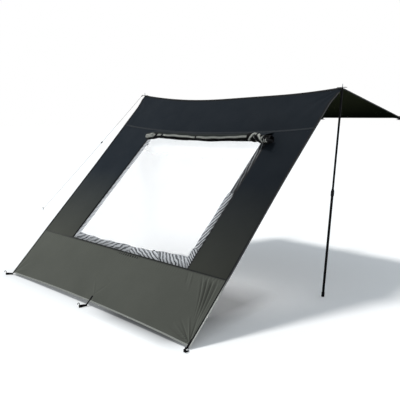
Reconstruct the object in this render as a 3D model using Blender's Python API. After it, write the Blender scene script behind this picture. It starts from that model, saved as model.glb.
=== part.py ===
"""Vehicle side awning: a roof sheet, a sloping wall with a clear window, two poles, pegs and a guy line.

Metres, +Z up. The origin is the centre of the middle suction pad's face, on the vehicle's roof.
+X runs along the ridge, the wall slopes down towards -Y and the vehicle stands at +Y.
The wall's pieces are modelled flat, under an empty on the ridge that tilts them to the wall's slope:
there local X runs along the ridge, local Y up the slope and local Z out of the wall.
"""

import math

import bmesh
import bpy
from mathutils import Matrix, Vector

# Overall layout
PEAK_HEIGHT = 2.00
PAD_HEIGHT = 1.70
ROOF_REACH = 1.70
RIDGE_LENGTH = 2.98
RIDGE_SAG = 0.12
WALL_RUN = 1.86
HEM_HEIGHT = 0.02
HEM_ARCH = 0.03

# Roof
REAR_HEM_WIDTH = 2.44
STRAP_REACH = 0.16
REAR_HEM_RISE = 0.022
REAR_SCALLOP = 0.012
ROOF_BELLY = 0.035

# Cloth, tapes and clearances
CLOTH = 0.001
TAPE = 0.0008
WEBBING = 0.0016
FIT = 0.0003
SEAM_GAP = 0.0010
SEAM_TAPE_WIDTH = 0.020
BINDING_WIDTH = 0.022
BINDING_SIDE = 0.0025
HEM_TAPE_WIDTH = 0.014
REAR_WEBBING_WIDTH = 0.038
RIDGE_TAPE_WIDTH = 0.022
RIDGE_SEAM = 0.003
RIDGE_LEVEL = 0.035
CORNER_CLIP = 0.030
BINDING_START = 0.055

# Wall rows, measured down the slope from the peaks
UPPER_SEAM = 0.500
LOWER_SEAM = 2.120
WINDOW_HEAD = 0.615
WINDOW_LEFT_TOP = -0.815
WINDOW_LEFT_FOOT = -0.890
WINDOW_RIGHT = 1.002
FILM = 0.0005
FILM_MARGIN = 0.030

# Folds of the bottom panel
CORNER_FOLD = 0.007
MIDDLE_FOLD = 0.004
PEG_FAN = 0.36
PEG_FAN_RISE = 0.08
PEG_FAN_SPREAD = 0.16
PLEAT = 0.0045
PLEAT_PITCH = 0.066
PLEATS_FROM = 1.148
PLEATS_TO = 1.450
PLEAT_GATHER = 0.8

# Rolled window cover
ROLL_ROW = 0.615
ROLL_LEFT = -0.830
ROLL_RIGHT = 1.085
ROLL_RADIUS = 0.036
ROLL_BULGE = 0.0025
ROLL_BULGE_PITCH = 0.46
ROLL_SWELL = 0.008
ROLL_SWELL_AT = 0.945
ROLL_SWELL_SPAN = 0.085
ROLL_LOBE = 0.0025
ROLL_STANDOFF = 0.004
ROLL_SIDES = 16
ROLL_LIP = 0.003
ROLL_RIPPLE = 0.0008
TIE_NOTCH = 0.006
TIE_WIDTH = 0.026
TIE_PLACES = (-0.600, 0.080, 0.800)
BOW_LENGTH = 0.030
BOW_HEIGHT = 0.016
TIE_TAIL = 0.045
TIE_TAIL_WIDTH = 0.008
TIE_TAIL_SPLAY = 0.010
TIE_TAIL_LEAN = 0.006
TIE_TAIL_BEND = 0.004

# Peak tabs and eyelets
TAB_LENGTH = 0.0875
TAB_OUTBOARD = 0.046
TAB_WIDTH = 0.046
TAB_THICKNESS = 0.0035
TAB_INSET = 0.0035
EYELET_BORE = 0.0060
EYELET_BARREL = 0.0077
EYELET_FLANGE = 0.0125
EYELET_PLATE = 0.0009
SLOT_LENGTH = 0.018
SLOT_WIDTH = 0.008
SLOT_EDGE = 0.012

# Poles
POLE_LEAN = 0.153
BALL_RADIUS = 0.0090
PIN_RADIUS = 0.0032
PIN_RISE = 0.036
UPPER_RADIUS = 0.0100
LOWER_RADIUS = 0.0125
TUBE_WALL = 0.0012
UPPER_LENGTH = 1.100
TUBE_OVERLAP = 0.160
TIP_STEM = 0.030
COLLAR_RADIUS = 0.0165
COLLAR_SKIRT = 0.045
COLLAR_NECK = 0.018
COLLAR_RIBS = 14
COLLAR_RIB_DEPTH = 0.0014
RUNNING_FIT = 0.0004
FOOT_RADIUS = 0.0155
FOOT_CUP = 0.036
FOOT_FLOOR = 0.008

# Pegs and webbing loops
PEG_RADIUS = 0.0035
PEG_DEPTH = 0.190
PEG_HEAD = 0.036
PEG_HOOK = 0.0085
LOOP_LENGTH = 0.080
LOOP_WIDTH = 0.042
LOOP_NECK = 0.010
LOOP_HEIGHT = 0.016
LOOP_LIFT = 0.004
LOOP_TAIL = 0.062
LOOP_TAIL_WIDTH = 0.020
LOOP_LAP = 0.012
LOOP_INSET = 0.018
MIDDLE_LOOP = 0.055
LOOP_HEADINGS = (-0.75, -0.15, 0.62)
EDGE_LOOP_ROW = 0.095
EDGE_LOOP_LENGTH = 0.034
EDGE_LOOP_WIDTH = 0.014
EDGE_LOOP_HEIGHT = 0.010

# Guy line, in metres from the origin
GUY_DIAMETER = 0.004
GUY_END = (-5.550, -1.040, -1.672)
GUY_SLACK = 0.010
GUY_POINTS = 31
KNOT_RADIUS = 0.0070
KNOT_LENGTH = 0.022
KNOT_REACH = 0.016
EYE_HEIGHT = 0.0066
RUNNER_PLACE = 0.30
RUNNER_LENGTH = 0.055
RUNNER_WIDTH = 0.020
RUNNER_THICKNESS = 0.009

# Suction fixings
PAD_PLACES = (-1.100, 0.0, 1.100)
PAD_RADIUS = 0.044
PAD_LIP = 0.0025
PAD_CROWN = 0.012
PAD_NECK = 0.017
CAP_RADIUS = 0.024
CAP_HEIGHT = 0.016
EAR_HEIGHT = 0.014
EAR_THICKNESS = 0.005
LEVER_WIDTH = 0.024
LEVER_LENGTH = 0.060
LEVER_THICKNESS = 0.006
LEVER_PIN = 0.003
ARM_THICKNESS = 0.007
ARM_SPREAD = 0.040
BAR_STANDOFF = 0.0065
BAR_RADIUS = 0.003
STRAP_WIDTH = 0.025

# Facets
ROUND_SIDES = 20
SMALL_SIDES = 12
SPAN_STEPS = 24

SLOPE = math.atan2(PEAK_HEIGHT - HEM_HEIGHT, WALL_RUN)
SLANT = math.hypot(PEAK_HEIGHT - HEM_HEIGHT, WALL_RUN)
RIDGE = Vector((0.0, -ROOF_REACH, PEAK_HEIGHT - PAD_HEIGHT))
GROUND = -PAD_HEIGHT
HALF_RIDGE = RIDGE_LENGTH / 2
HALF_HEM = REAR_HEM_WIDTH / 2
REAR_HEM_REACH = ROOF_REACH - STRAP_REACH
INSIDE_BINDING = HALF_RIDGE - BINDING_WIDTH
LOOP_PLACES = (LOOP_INSET - HALF_RIDGE, MIDDLE_LOOP, HALF_RIDGE - LOOP_INSET)
POLE_TOP = HALF_RIDGE - TAB_INSET
TAB_END = POLE_TOP + TAB_OUTBOARD
TAB_BASE = CLOTH / 2 + FIT
BAR_PLACE = -CAP_RADIUS - BAR_STANDOFF


def clear_scene():
    for obj in list(bpy.data.objects):
        bpy.data.objects.remove(obj, do_unlink=True)


def material(name, colour, roughness, metallic=0.0, alpha=1.0):
    made = bpy.data.materials.new(name)
    made.use_nodes = True
    shader = made.node_tree.nodes["Principled BSDF"]
    shader.inputs["Base Color"].default_value = (*colour, 1.0)
    shader.inputs["Roughness"].default_value = roughness
    shader.inputs["Metallic"].default_value = metallic
    shader.inputs["Alpha"].default_value = alpha
    return made


def empty(name, location, rotation=(0.0, 0.0, 0.0)):
    made = bpy.data.objects.new(name, None)
    made.location = location
    made.rotation_euler = rotation
    bpy.context.scene.collection.objects.link(made)
    return made


def place(obj, surface, parent=None, location=(0.0, 0.0, 0.0), smooth=False):
    obj.data.materials.append(surface)
    obj.parent = parent
    obj.location = location
    if smooth:
        obj.data.shade_smooth()
        obj.data.set_sharp_from_angle(angle=math.radians(35))
    return obj


def aim(obj, direction):
    """Turns local Z to a direction."""
    obj.rotation_mode = "QUATERNION"
    obj.rotation_quaternion = direction.to_track_quat("Z", "Y")
    return obj


def object_from(bm, name):
    bmesh.ops.recalc_face_normals(bm, faces=bm.faces)
    mesh = bpy.data.meshes.new(name)
    bm.to_mesh(mesh)
    bm.free()
    obj = bpy.data.objects.new(name, mesh)
    bpy.context.scene.collection.objects.link(obj)
    return obj


def spaced(start, stop, steps):
    return [start + (stop - start) * i / steps for i in range(steps + 1)]


def smooth_step(share):
    share = max(0.0, min(1.0, share))
    return share * share * (3.0 - 2.0 * share)


def sleeve(bm, rings):
    """Faces between each ring of vertices and the next."""
    for first, second in zip(rings, rings[1:]):
        for i in range(len(first)):
            j = (i + 1) % len(first)
            bm.faces.new((first[i], first[j], second[j], second[i]))


def slab(name, point, us, vs, low, high):
    """A closed sheet: point(u, v, height) gives a place on it, and it runs from height low to high."""
    bm = bmesh.new()
    layers = [[[bm.verts.new(point(u, v, height)) for u in us] for v in vs] for height in (low, high)]
    for layer in layers:
        for near, far in zip(layer, layer[1:]):
            for i in range(len(us) - 1):
                bm.faces.new((near[i], near[i + 1], far[i + 1]))
                bm.faces.new((near[i], far[i + 1], far[i]))

    def border(layer):
        right = [row[-1] for row in layer[1:-1]]
        left = [row[0] for row in layer[1:-1]]
        return layer[0] + right + layer[-1][::-1] + left[::-1]

    sleeve(bm, [border(layer) for layer in layers])
    return object_from(bm, name)


def turned(name, profile, sides=ROUND_SIDES):
    """A solid turned about local Z from (radius, height) points; one that stays off the axis leaves a bore."""
    bm = bmesh.new()
    rings = []
    for radius, height in profile:
        turns = [math.tau * i / sides for i in range(sides)] if radius > 0.0 else [0.0]
        rings.append([bm.verts.new((radius * math.cos(a), radius * math.sin(a), height)) for a in turns])
    pairs = list(zip(rings, rings[1:]))
    if len(rings[0]) > 1 and len(rings[-1]) > 1:
        pairs.append((rings[-1], rings[0]))
    for first, second in pairs:
        for i in range(sides):
            j = (i + 1) % sides
            near = (first[i % len(first)], first[j % len(first)])
            far = (second[j % len(second)], second[i % len(second)])
            bm.faces.new(list(dict.fromkeys(near + far)))
    return object_from(bm, name)


def prism(name, outline, low, high, hole=None, axes=(0, 1, 2)):
    """An outline of (a, b) points drawn out from low to high; hole is an inner outline with as many points."""
    bm = bmesh.new()

    def loop(points, depth):
        made = []
        for a, b in points:
            corner = Vector((0.0, 0.0, 0.0))
            corner[axes[0]], corner[axes[1]], corner[axes[2]] = a, b, depth
            made.append(bm.verts.new(corner))
        return made

    outer = [loop(outline, low), loop(outline, high)]
    sleeve(bm, outer)
    if hole is None:
        bm.faces.new(outer[0])
        bm.faces.new(outer[1])
    else:
        inner = [loop(hole, low), loop(hole, high)]
        sleeve(bm, inner)
        sleeve(bm, [outer[0], inner[0]])
        sleeve(bm, [outer[1], inner[1]])
    return object_from(bm, name)


def tube_curve(name, points, radius, resolution=2, taper=None):
    """A round rod or cord along points, its ends capped; taper gives each point's share of the radius."""
    data = bpy.data.curves.new(name, "CURVE")
    data.dimensions = "3D"
    data.bevel_depth = radius
    data.bevel_resolution = resolution
    data.use_fill_caps = True
    spline = data.splines.new("POLY")
    spline.points.add(len(points) - 1)
    for i, point in enumerate(points):
        spline.points[i].co = (*point, 1.0)
        spline.points[i].radius = taper[i] if taper else 1.0
    obj = bpy.data.objects.new(name, data)
    bpy.context.scene.collection.objects.link(obj)
    return obj


def combine(obj, tool, operation):
    """Joins tool to obj or cuts it away, and keeps tool only as a hidden helper."""
    change = obj.modifiers.new(operation.title(), "BOOLEAN")
    change.operation = operation
    change.object = tool
    change.solver = "EXACT"
    tool.hide_render = True
    tool.display_type = "WIRE"
    return obj


def soften(obj, width, segments=2):
    bevel = obj.modifiers.new("Bevel", "BEVEL")
    bevel.width = width
    bevel.segments = segments
    bevel.limit_method = "ANGLE"
    bevel.angle_limit = math.radians(40)
    return obj


def arc(centre, radius, start, stop, steps):
    """Points (a, b) on an arc about centre, angles in degrees."""
    angles = [math.radians(angle) for angle in spaced(start, stop, steps)]
    return [(centre[0] + radius * math.cos(a), centre[1] + radius * math.sin(a)) for a in angles]


def box(name, low, high):
    outline = [(low[0], low[1]), (high[0], low[1]), (high[0], high[1]), (low[0], high[1])]
    return prism(name, outline, low[2], high[2])


def rod(name, radius, length):
    """A round bar along X."""
    ends = [(0.0, length / 2), (radius, length / 2), (radius, -length / 2), (0.0, -length / 2)]
    made = turned(name, ends, 16)
    made.data.transform(Matrix.Rotation(math.pi / 2, 4, "Y"))
    return made


# Stations across the sheets, in metres from the middle

def span_stations():
    """Even stations, and one at the inner edge of each side's binding."""
    even = spaced(-HALF_RIDGE, HALF_RIDGE, SPAN_STEPS)
    return sorted([*even, -INSIDE_BINDING, INSIDE_BINDING])


def folded_stations():
    """Closer stations where the bottom panel folds: beside the pegs and across the pleats."""
    stations = [-HALF_RIDGE]
    for start, stop, steps in (
        (-INSIDE_BINDING, PEG_FAN - HALF_RIDGE, 7),
        (PEG_FAN - HALF_RIDGE, -PEG_FAN, 6),
        (-PEG_FAN, PEG_FAN, 13),
        (PEG_FAN, PLEATS_FROM, 5),
        (PLEATS_FROM, PLEATS_TO, 25),
        (PLEATS_TO, INSIDE_BINDING, 1),
    ):
        stations += spaced(start, stop, steps)[:-1]
    return [*stations, INSIDE_BINDING, HALF_RIDGE]


def between_bindings(stations):
    """The same stations, ended just short of the side bindings."""
    end = INSIDE_BINDING - FIT
    return [-end, *[x for x in stations if abs(x) < end], end]


# The wall's surface

def crown(x):
    """1 at the middle of the ridge, 0 at the peaks, where a short stretch stays level."""
    return 1.0 - min(1.0, abs(x) / (HALF_RIDGE - RIDGE_LEVEL)) ** 2


def row_slant(x, row):
    """How far down the slope a row lies at x: rows sag with the ridge and rise a little at the hem."""
    share = row / SLANT
    return row + crown(x) * (RIDGE_SAG * (1.0 - share) - HEM_ARCH * share)


def panel_depth(row):
    """0 down to the bottom panel's seam tape, 1 at the hem."""
    top = LOWER_SEAM + SEAM_TAPE_WIDTH / 2
    return max(0.0, (row - top) / (SLANT - top))


def fan_height(x, row):
    """The bottom panel's folds that fan out from the pegs. The bindings keep the side edges flat across."""
    x = max(-INSIDE_BINDING, min(INSIDE_BINDING, x))
    height = 0.0
    for peg, size in ((-HALF_RIDGE, CORNER_FOLD), (HALF_RIDGE, CORNER_FOLD), (0.0, MIDDLE_FOLD)):
        across, down = x - peg, SLANT - row
        reach = math.hypot(across, down)
        fan = math.atan2(across, down + PEG_FAN_SPREAD)
        swell = math.exp(-reach / PEG_FAN) * (1.0 - math.exp(-reach / PEG_FAN_RISE))
        height += size * swell * math.sin(4.0 * fan)
    return height * smooth_step(panel_depth(row))


def pleat_height(station, row):
    """The bottom panel's slack at the right: pleats that start under the seam and die out half-way down."""
    middle = (PLEATS_FROM + PLEATS_TO) / 2
    spread = (PLEATS_TO - PLEATS_FROM) / 2
    near = max(0.0, 1.0 - ((station - middle) / spread) ** 2)
    depth = panel_depth(row)
    lasting = smooth_step(8.0 * depth) * (1.0 - smooth_step(2.0 * depth - 0.4))
    return PLEAT * near * lasting * math.sin(math.tau * (station - PLEATS_FROM) / PLEAT_PITCH)


def gathered(station, row):
    """Where a station lies across at a row: under the seam the cloth runs together towards the right peg."""
    near = smooth_step((station - PEG_FAN) / (PLEATS_FROM - PEG_FAN))
    pull = PLEAT_GATHER * near * (1.0 - (1.0 - panel_depth(row)) ** 1.8)
    return station + pull * max(0.0, PLEATS_TO - station)


def wall_place(x, row, height):
    return Vector((x, -row_slant(x, row), fan_height(x, row) + height))


def full_width(station, row, height):
    """A place on a full-width piece, whose top corners are clipped for the poles' pins."""
    clip = max(0.0, CORNER_CLIP - row) / HALF_RIDGE
    return wall_place(gathered(station, row) * (1.0 - clip), row, pleat_height(station, row) + height)


def window_left(row):
    share = (row - WINDOW_HEAD) / (LOWER_SEAM - WINDOW_HEAD)
    return WINDOW_LEFT_TOP + (WINDOW_LEFT_FOOT - WINDOW_LEFT_TOP) * max(0.0, share)


def bottom_rows():
    folds = spaced(LOWER_SEAM + SEAM_TAPE_WIDTH / 2, SLANT, 6)[:-1]
    return [LOWER_SEAM + SEAM_GAP / 2, *folds, SLANT - HEM_TAPE_WIDTH, SLANT]


def build_wall(mats, frame):
    stations = span_stations()
    folded = folded_stations()
    body = (-CLOTH / 2, CLOTH / 2)
    tape = (CLOTH / 2 + FIT, CLOTH / 2 + FIT + TAPE)

    def panel(name, point, across, rows, layer=body, surface="cloth"):
        return place(slab(name, point, across, rows, *layer), mats[surface], frame, smooth=True)

    half_gap = SEAM_GAP / 2
    top_rows = [RIDGE_SEAM, *spaced(CORNER_CLIP, UPPER_SEAM - half_gap, 3)]
    side_rows = [UPPER_SEAM + half_gap, *spaced(WINDOW_HEAD, LOWER_SEAM - half_gap, 4)]

    def left_side(u, row, height):
        return wall_place(-HALF_RIDGE + (window_left(row) + HALF_RIDGE) * u, row, height)

    def right_side(u, row, height):
        return wall_place(WINDOW_RIGHT + (HALF_RIDGE - WINDOW_RIGHT) * u, row, height)

    def header(u, row, height):
        start, stop = window_left(row) + SEAM_GAP, WINDOW_RIGHT - SEAM_GAP
        return wall_place(start + (stop - start) * u, row, height)

    panel("wall_top_panel", full_width, stations, top_rows)
    panel("wall_left_panel", left_side, spaced(0.0, 1.0, 5), side_rows)
    panel("wall_right_panel", right_side, spaced(0.0, 1.0, 5), side_rows)
    panel("wall_header_panel", header, spaced(0.0, 1.0, 14), side_rows[:2])
    panel("wall_bottom_panel", full_width, folded, bottom_rows())

    half = SEAM_TAPE_WIDTH / 2
    short = between_bindings(stations)
    for name, row in (("seam_tape_upper", UPPER_SEAM), ("seam_tape_lower", LOWER_SEAM)):
        panel(name, full_width, short, [row - half, row + half], tape, "seam")
    panel("hem_tape", full_width, between_bindings(folded), [SLANT - HEM_TAPE_WIDTH, SLANT], tape, "hem")
    build_bindings(mats, frame)
    build_film(mats, frame)


def build_bindings(mats, frame):
    """Each side edge is bound with a tape folded round it: a channel with the cloth's edge in its slot."""
    rows = [BINDING_START, *spaced(UPPER_SEAM, LOWER_SEAM, 4)[:-1], *bottom_rows()]
    inner, outer = CLOTH / 2 + FIT, CLOTH / 2 + FIT + TAPE
    edge = HALF_RIDGE + FIT
    section = [
        (INSIDE_BINDING, inner),
        (edge, inner),
        (edge, -inner),
        (INSIDE_BINDING, -inner),
        (INSIDE_BINDING, -outer),
        (edge + BINDING_SIDE / 2, -outer),
        (edge + BINDING_SIDE, 0.0),
        (edge + BINDING_SIDE / 2, outer),
        (INSIDE_BINDING, outer),
    ]
    for side, name in ((-1.0, "left"), (1.0, "right")):
        bm = bmesh.new()
        rings = []
        for row in rows:
            ring = []
            for x, height in section:
                spot = wall_place(side * min(x, HALF_RIDGE), row, height)
                spot.x = side * x
                ring.append(bm.verts.new(spot))
            rings.append(ring)
        sleeve(bm, rings)
        for ring in (rings[0], rings[-1]):
            bm.faces.new((ring[0], ring[1], ring[7], ring[8]))
            bm.faces.new((ring[1], ring[2], ring[5], ring[6], ring[7]))
            bm.faces.new((ring[2], ring[3], ring[4], ring[5]))
        place(object_from(bm, f"edge_binding_{name}"), mats["binding"], frame, smooth=True)


def build_film(mats, frame):
    """The clear sheet lies behind the opening and laps under the cloth round it."""
    rows = [WINDOW_HEAD - FILM_MARGIN, *spaced(WINDOW_HEAD, LOWER_SEAM, 3), LOWER_SEAM + FILM_MARGIN]

    def at(u, row, height):
        start, stop = window_left(row) - FILM_MARGIN, WINDOW_RIGHT + FILM_MARGIN
        x = start + (stop - start) * u
        return Vector((x, -row_slant(x, row), height))

    back = -CLOTH / 2 - 2 * FIT
    film = slab("window_film", at, spaced(0.0, 1.0, 10), rows, back - FILM, back)
    place(film, mats["film"], frame, smooth=True)


# The roof's surface: s from -1 to 1 across the full sheet, v from 0 at the ridge to 1 at the rear hem

def ridge_point(x):
    """A point of the ridge: it sags in the wall's plane."""
    drop = RIDGE_SAG * crown(x)
    return RIDGE + Vector((x, -drop * math.cos(SLOPE), -drop * math.sin(SLOPE)))


def roof_half(v):
    return HALF_RIDGE + (HALF_HEM - HALF_RIDGE) * v


def roof_middle(s, v):
    front = ridge_point(s * HALF_RIDGE)
    scallop = REAR_SCALLOP * math.sin(math.tau * abs(s)) ** 2 * v * v
    rear_y = RIDGE.y + REAR_HEM_REACH - scallop
    belly = ROOF_BELLY * (1.0 - s * s) * 4.0 * v * (1.0 - v)
    return Vector((
        s * roof_half(v),
        front.y + (rear_y - front.y) * v,
        front.z + (REAR_HEM_RISE - front.z) * v - belly,
    ))


def roof_place(x, v, height):
    """A place on the roof; x is the station's distance from the middle where the roof is widest."""
    clip = max(0.0, CORNER_CLIP - v * REAR_HEM_REACH) / roof_half(v)
    s = x / HALF_RIDGE * (1.0 - clip)
    step = 0.01
    across = roof_middle(s + step, v) - roof_middle(s - step, v)
    along = roof_middle(s, v + step) - roof_middle(s, v - step)
    return roof_middle(s, v) + across.cross(along).normalized() * height


def build_roof(mats):
    stations = span_stations()
    seam = RIDGE_SEAM / REAR_HEM_REACH
    clip = CORNER_CLIP / REAR_HEM_REACH
    tape = 1.0 - REAR_WEBBING_WIDTH / REAR_HEM_REACH
    rows = [seam, *spaced(clip, tape, 5), 1.0]
    panel = slab("roof_panel", roof_place, stations, rows, -CLOTH / 2, CLOTH / 2)
    place(panel, mats["cloth"], smooth=True)
    top = CLOTH / 2 + FIT
    webbing = slab("roof_hem_rear", roof_place, stations, rows[-2:], top, top + WEBBING)
    place(webbing, mats["webbing"], smooth=True)
    under = -CLOTH / 2 - FIT
    for side, name in ((-1.0, "left"), (1.0, "right")):
        strip = sorted((side * INSIDE_BINDING, side * HALF_RIDGE))
        hem = slab(f"roof_hem_{name}", roof_place, strip, rows[1:-1], under - TAPE, under)
        place(hem, mats["binding"], smooth=True)


def roof_slope(x):
    """The roof's direction, square to X, where it leaves the ridge at x."""
    v = RIDGE_TAPE_WIDTH / REAR_HEM_REACH
    ahead = roof_middle(min(1.0, x / roof_half(v)), v) - ridge_point(x)
    return Vector((0.0, ahead.y, ahead.z)).normalized()


def build_ridge_tape(mats):
    """The binding over the ridge seam: a shallow roof-shaped strip that rests on wall and roof."""
    bm = bmesh.new()
    low, high = CLOTH / 2 + 2 * FIT, CLOTH / 2 + 2 * FIT + TAPE
    down = Vector((0.0, -math.cos(SLOPE), -math.sin(SLOPE)))
    out = Vector((0.0, -math.sin(SLOPE), math.cos(SLOPE)))
    end = TAB_END - TAB_LENGTH - SEAM_GAP
    rings = []
    for x in spaced(-end, end, SPAN_STEPS):
        top = ridge_point(x)
        along = roof_slope(x)
        up = Vector((0.0, -along.z, along.y))
        bend = (out + up).normalized()
        mitre = 1.0 / bend.dot(out)
        section = [
            top + down * RIDGE_TAPE_WIDTH + out * low,
            top + bend * low * mitre,
            top + along * RIDGE_TAPE_WIDTH + up * low,
            top + along * RIDGE_TAPE_WIDTH + up * high,
            top + bend * high * mitre,
            top + down * RIDGE_TAPE_WIDTH + out * high,
        ]
        rings.append([bm.verts.new(corner) for corner in section])
    sleeve(bm, rings)
    for ring in (rings[0], rings[-1]):
        bm.faces.new((ring[0], ring[1], ring[4], ring[5]))
        bm.faces.new((ring[1], ring[2], ring[3], ring[4]))
    place(object_from(bm, "ridge_tape"), mats["binding"], smooth=True)


# The rolled window cover

def drawn_in(x):
    """1 under a tie, 0 away from it."""
    nearest = min(abs(x - tie) for tie in TIE_PLACES)
    return 1.0 - smooth_step((nearest / TIE_WIDTH - 0.56) / 0.55)


def swollen(x):
    """1 where the spare cloth is bunched beyond the right tie, 0 away from it."""
    return math.exp(-((x - ROLL_SWELL_AT) / ROLL_SWELL_SPAN) ** 2)


def loose_radius(x):
    """The roll bulges softly along its length, swells beyond its right tie and thins at its ends."""
    bulge = ROLL_BULGE * math.sin(math.tau * (x - ROLL_LEFT) / ROLL_BULGE_PITCH)
    ends = min(1.0, 0.72 + (x - ROLL_LEFT) / 0.03, 0.72 + (ROLL_RIGHT - x) / 0.03)
    return (ROLL_RADIUS + bulge + ROLL_SWELL * swollen(x)) * ends


def roll_radius(x):
    """The ties draw the roll in."""
    loose = loose_radius(x)
    return loose + (ROLL_RADIUS - TIE_NOTCH - loose) * drawn_in(x)


def roll_centre(x):
    height = ROLL_STANDOFF + ROLL_RADIUS + ROLL_BULGE + ROLL_LIP + ROLL_SWELL
    return Vector((x, -row_slant(x, ROLL_ROW), height))


def roll_stations():
    """Even stations, swapped for closer ones beside each tie."""
    even = spaced(ROLL_LEFT, ROLL_RIGHT, 36)
    kept = [x for x in even if all(abs(x - tie) > 1.5 * TIE_WIDTH for tie in TIE_PLACES)]
    near = [tie + step * TIE_WIDTH for tie in TIE_PLACES for step in (-1.15, -0.85, -0.55, 0.55, 0.85, 1.15)]
    return sorted(kept + near)


def build_cover(mats, frame):
    """The wound flap: each section is one turn of a spiral, with a lip where the flap leaves the roll."""
    bm = bmesh.new()
    rings = []
    for x in roll_stations():
        centre, radius, loose = roll_centre(x), roll_radius(x), 1.0 - drawn_in(x)
        ring = []
        for i in range(ROLL_SIDES + 1):
            turn = i / ROLL_SIDES
            angle = math.tau * turn - math.pi * 0.35
            reach = radius + loose * (ROLL_LIP * turn + ROLL_RIPPLE * math.sin(3.0 * angle + 9.0 * x))
            reach -= loose * ROLL_LOBE * swollen(x) * (1.0 - math.cos(5.0 * angle + 14.0 * x))
            reach += 0.0002 * (turn - 0.5)
            ring.append(bm.verts.new(centre + Vector((0.0, math.cos(angle), math.sin(angle))) * reach))
        rings.append(ring)
    sleeve(bm, rings)
    bm.faces.new(rings[0])
    bm.faces.new(rings[-1])
    place(object_from(bm, "cover_roll"), mats["cover"], frame, smooth=True)
    for x, name in zip(TIE_PLACES, ("left", "middle", "right")):
        build_tie(mats, frame, name, x)
    build_web(mats, frame)


def build_tie(mats, frame, name, x):
    """A webbing band square to the drawn-in roll, tied in front in a bow with two short tails."""
    bore = (ROLL_RADIUS - TIE_NOTCH + 2 * FIT) / math.cos(math.pi / ROUND_SIDES)
    outer = bore + WEBBING
    edge = TIE_WIDTH / 2
    centre = roll_centre(x)
    band = turned(f"tie_{name}", [(bore, -edge), (bore, edge), (outer, edge), (outer, -edge)])
    band.data.transform(Matrix.Rotation(math.pi / 2, 4, "Y"))
    place(band, mats["webbing"], frame, centre, smooth=True)
    run = roll_centre(x + edge) - roll_centre(x - edge)
    band.rotation_euler.z = math.atan2(run.y, run.x)

    half, tall = BOW_LENGTH / 2, BOW_HEIGHT / 2
    bow_profile = [(0.0, half), (tall, half * 0.7), (tall * 0.6, 0.0), (tall, -half * 0.7), (0.0, -half)]
    bow = turned(f"tie_{name}_bow", bow_profile, SMALL_SIDES)
    bow.data.transform(Matrix.Rotation(math.pi / 2, 4, "Y"))
    front = Vector((0.0, 0.0, outer + tall - WEBBING / 2))
    combine(band, place(bow, mats["webbing"], band, front), "UNION")

    def tail_place(u, v, height):
        fall = TIE_TAIL * v
        spread = TIE_TAIL_SPLAY + TIE_TAIL_LEAN * v + (u - 0.5) * TIE_TAIL_WIDTH
        bend = TIE_TAIL_BEND * (math.sin(math.pi * v) - 2.0 * v)
        return Vector((spread, -tall * 0.3 - fall, bend + height))

    for side, end in ((-1.0, "a"), (1.0, "b")):

        def mirrored(u, v, height, side=side):
            spot = tail_place(u, v, height)
            spot.x *= side
            return spot

        tail = slab(f"tie_{name}_tail_{end}", mirrored, [0.0, 1.0], spaced(0.0, 1.0, 4), 0.0, WEBBING)
        combine(band, place(tail, mats["webbing"], band, front), "UNION")


def build_web(mats, frame):
    """The stretch of cover between the upper seam and the roll: it runs straight, at a tangent to the roll."""
    start = SEAM_TAPE_WIDTH / 2 + FIT
    proud = CLOTH / 2 + FIT
    left, right = ROLL_LEFT + 0.05, ROLL_RIGHT - 0.05

    def at(x, v, height):
        top = Vector((x, -row_slant(x, UPPER_SEAM) - start, proud))
        centre = roll_centre(x)
        reach = loose_radius(x) + ROLL_LIP / 3 + ROLL_RIPPLE / 2 + FIT
        seat = math.atan2(top.z - centre.z, top.y - centre.y) + math.acos(reach / (top - centre).length)
        foot = centre + Vector((0.0, math.cos(seat), math.sin(seat))) * reach
        return top.lerp(foot, v) + Vector((0.0, 0.0, height))

    web = slab("cover_web", at, spaced(left, right, 24), spaced(0.0, 1.0, 3), 0.0, CLOTH)
    place(web, mats["cover"], frame, smooth=True)


# Peaks, eyelets and poles

def build_peak(mats, side, name):
    """A level webbing patch on the corner, rounded outside, with the pole's eyelet and a slot for a line."""
    corner = TAB_WIDTH * 0.4
    half = TAB_WIDTH / 2
    inner, rounding = TAB_END - TAB_LENGTH, TAB_END - corner
    outline = [
        (inner, -half),
        *arc((rounding, corner - half), corner, -90, 0, 4),
        *arc((rounding, half - corner), corner, 0, 90, 4),
        (inner, half),
    ]
    base = TAB_BASE
    tab = prism(f"peak_tab_{name}", [(side * a, b) for a, b in outline], base, base + TAB_THICKNESS)
    place(tab, mats["webbing"], None, RIDGE)
    hole = EYELET_BARREL + FIT
    bore = turned(f"peak_tab_{name}_bore", [(0.0, 0.02), (hole, 0.02), (hole, -0.02), (0.0, -0.02)])
    eyelet_at = RIDGE + Vector((side * POLE_TOP, 0.0, 0.0))
    combine(tab, place(bore, mats["webbing"], None, eyelet_at), "DIFFERENCE")
    slot = box(
        f"peak_tab_{name}_slot",
        (-SLOT_WIDTH / 2, -SLOT_LENGTH / 2, -0.02),
        (SLOT_WIDTH / 2, SLOT_LENGTH / 2, 0.02),
    )
    slot_at = RIDGE + Vector((side * (TAB_END - SLOT_EDGE), 0.0, 0.0))
    combine(tab, place(slot, mats["webbing"], None, slot_at), "DIFFERENCE")

    low, high = base - FIT, base + TAB_THICKNESS + FIT
    section = [
        (EYELET_BORE, low - EYELET_PLATE),
        (EYELET_BORE, high + EYELET_PLATE),
        (EYELET_FLANGE, high + EYELET_PLATE * 0.4),
        (EYELET_FLANGE, high),
        (EYELET_BARREL, high),
        (EYELET_BARREL, low),
        (EYELET_FLANGE, low),
        (EYELET_FLANGE, low - EYELET_PLATE * 0.4),
    ]
    place(turned(f"eyelet_{name}", section), mats["steel"], None, eyelet_at, smooth=True)
    return low - EYELET_PLATE


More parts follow.
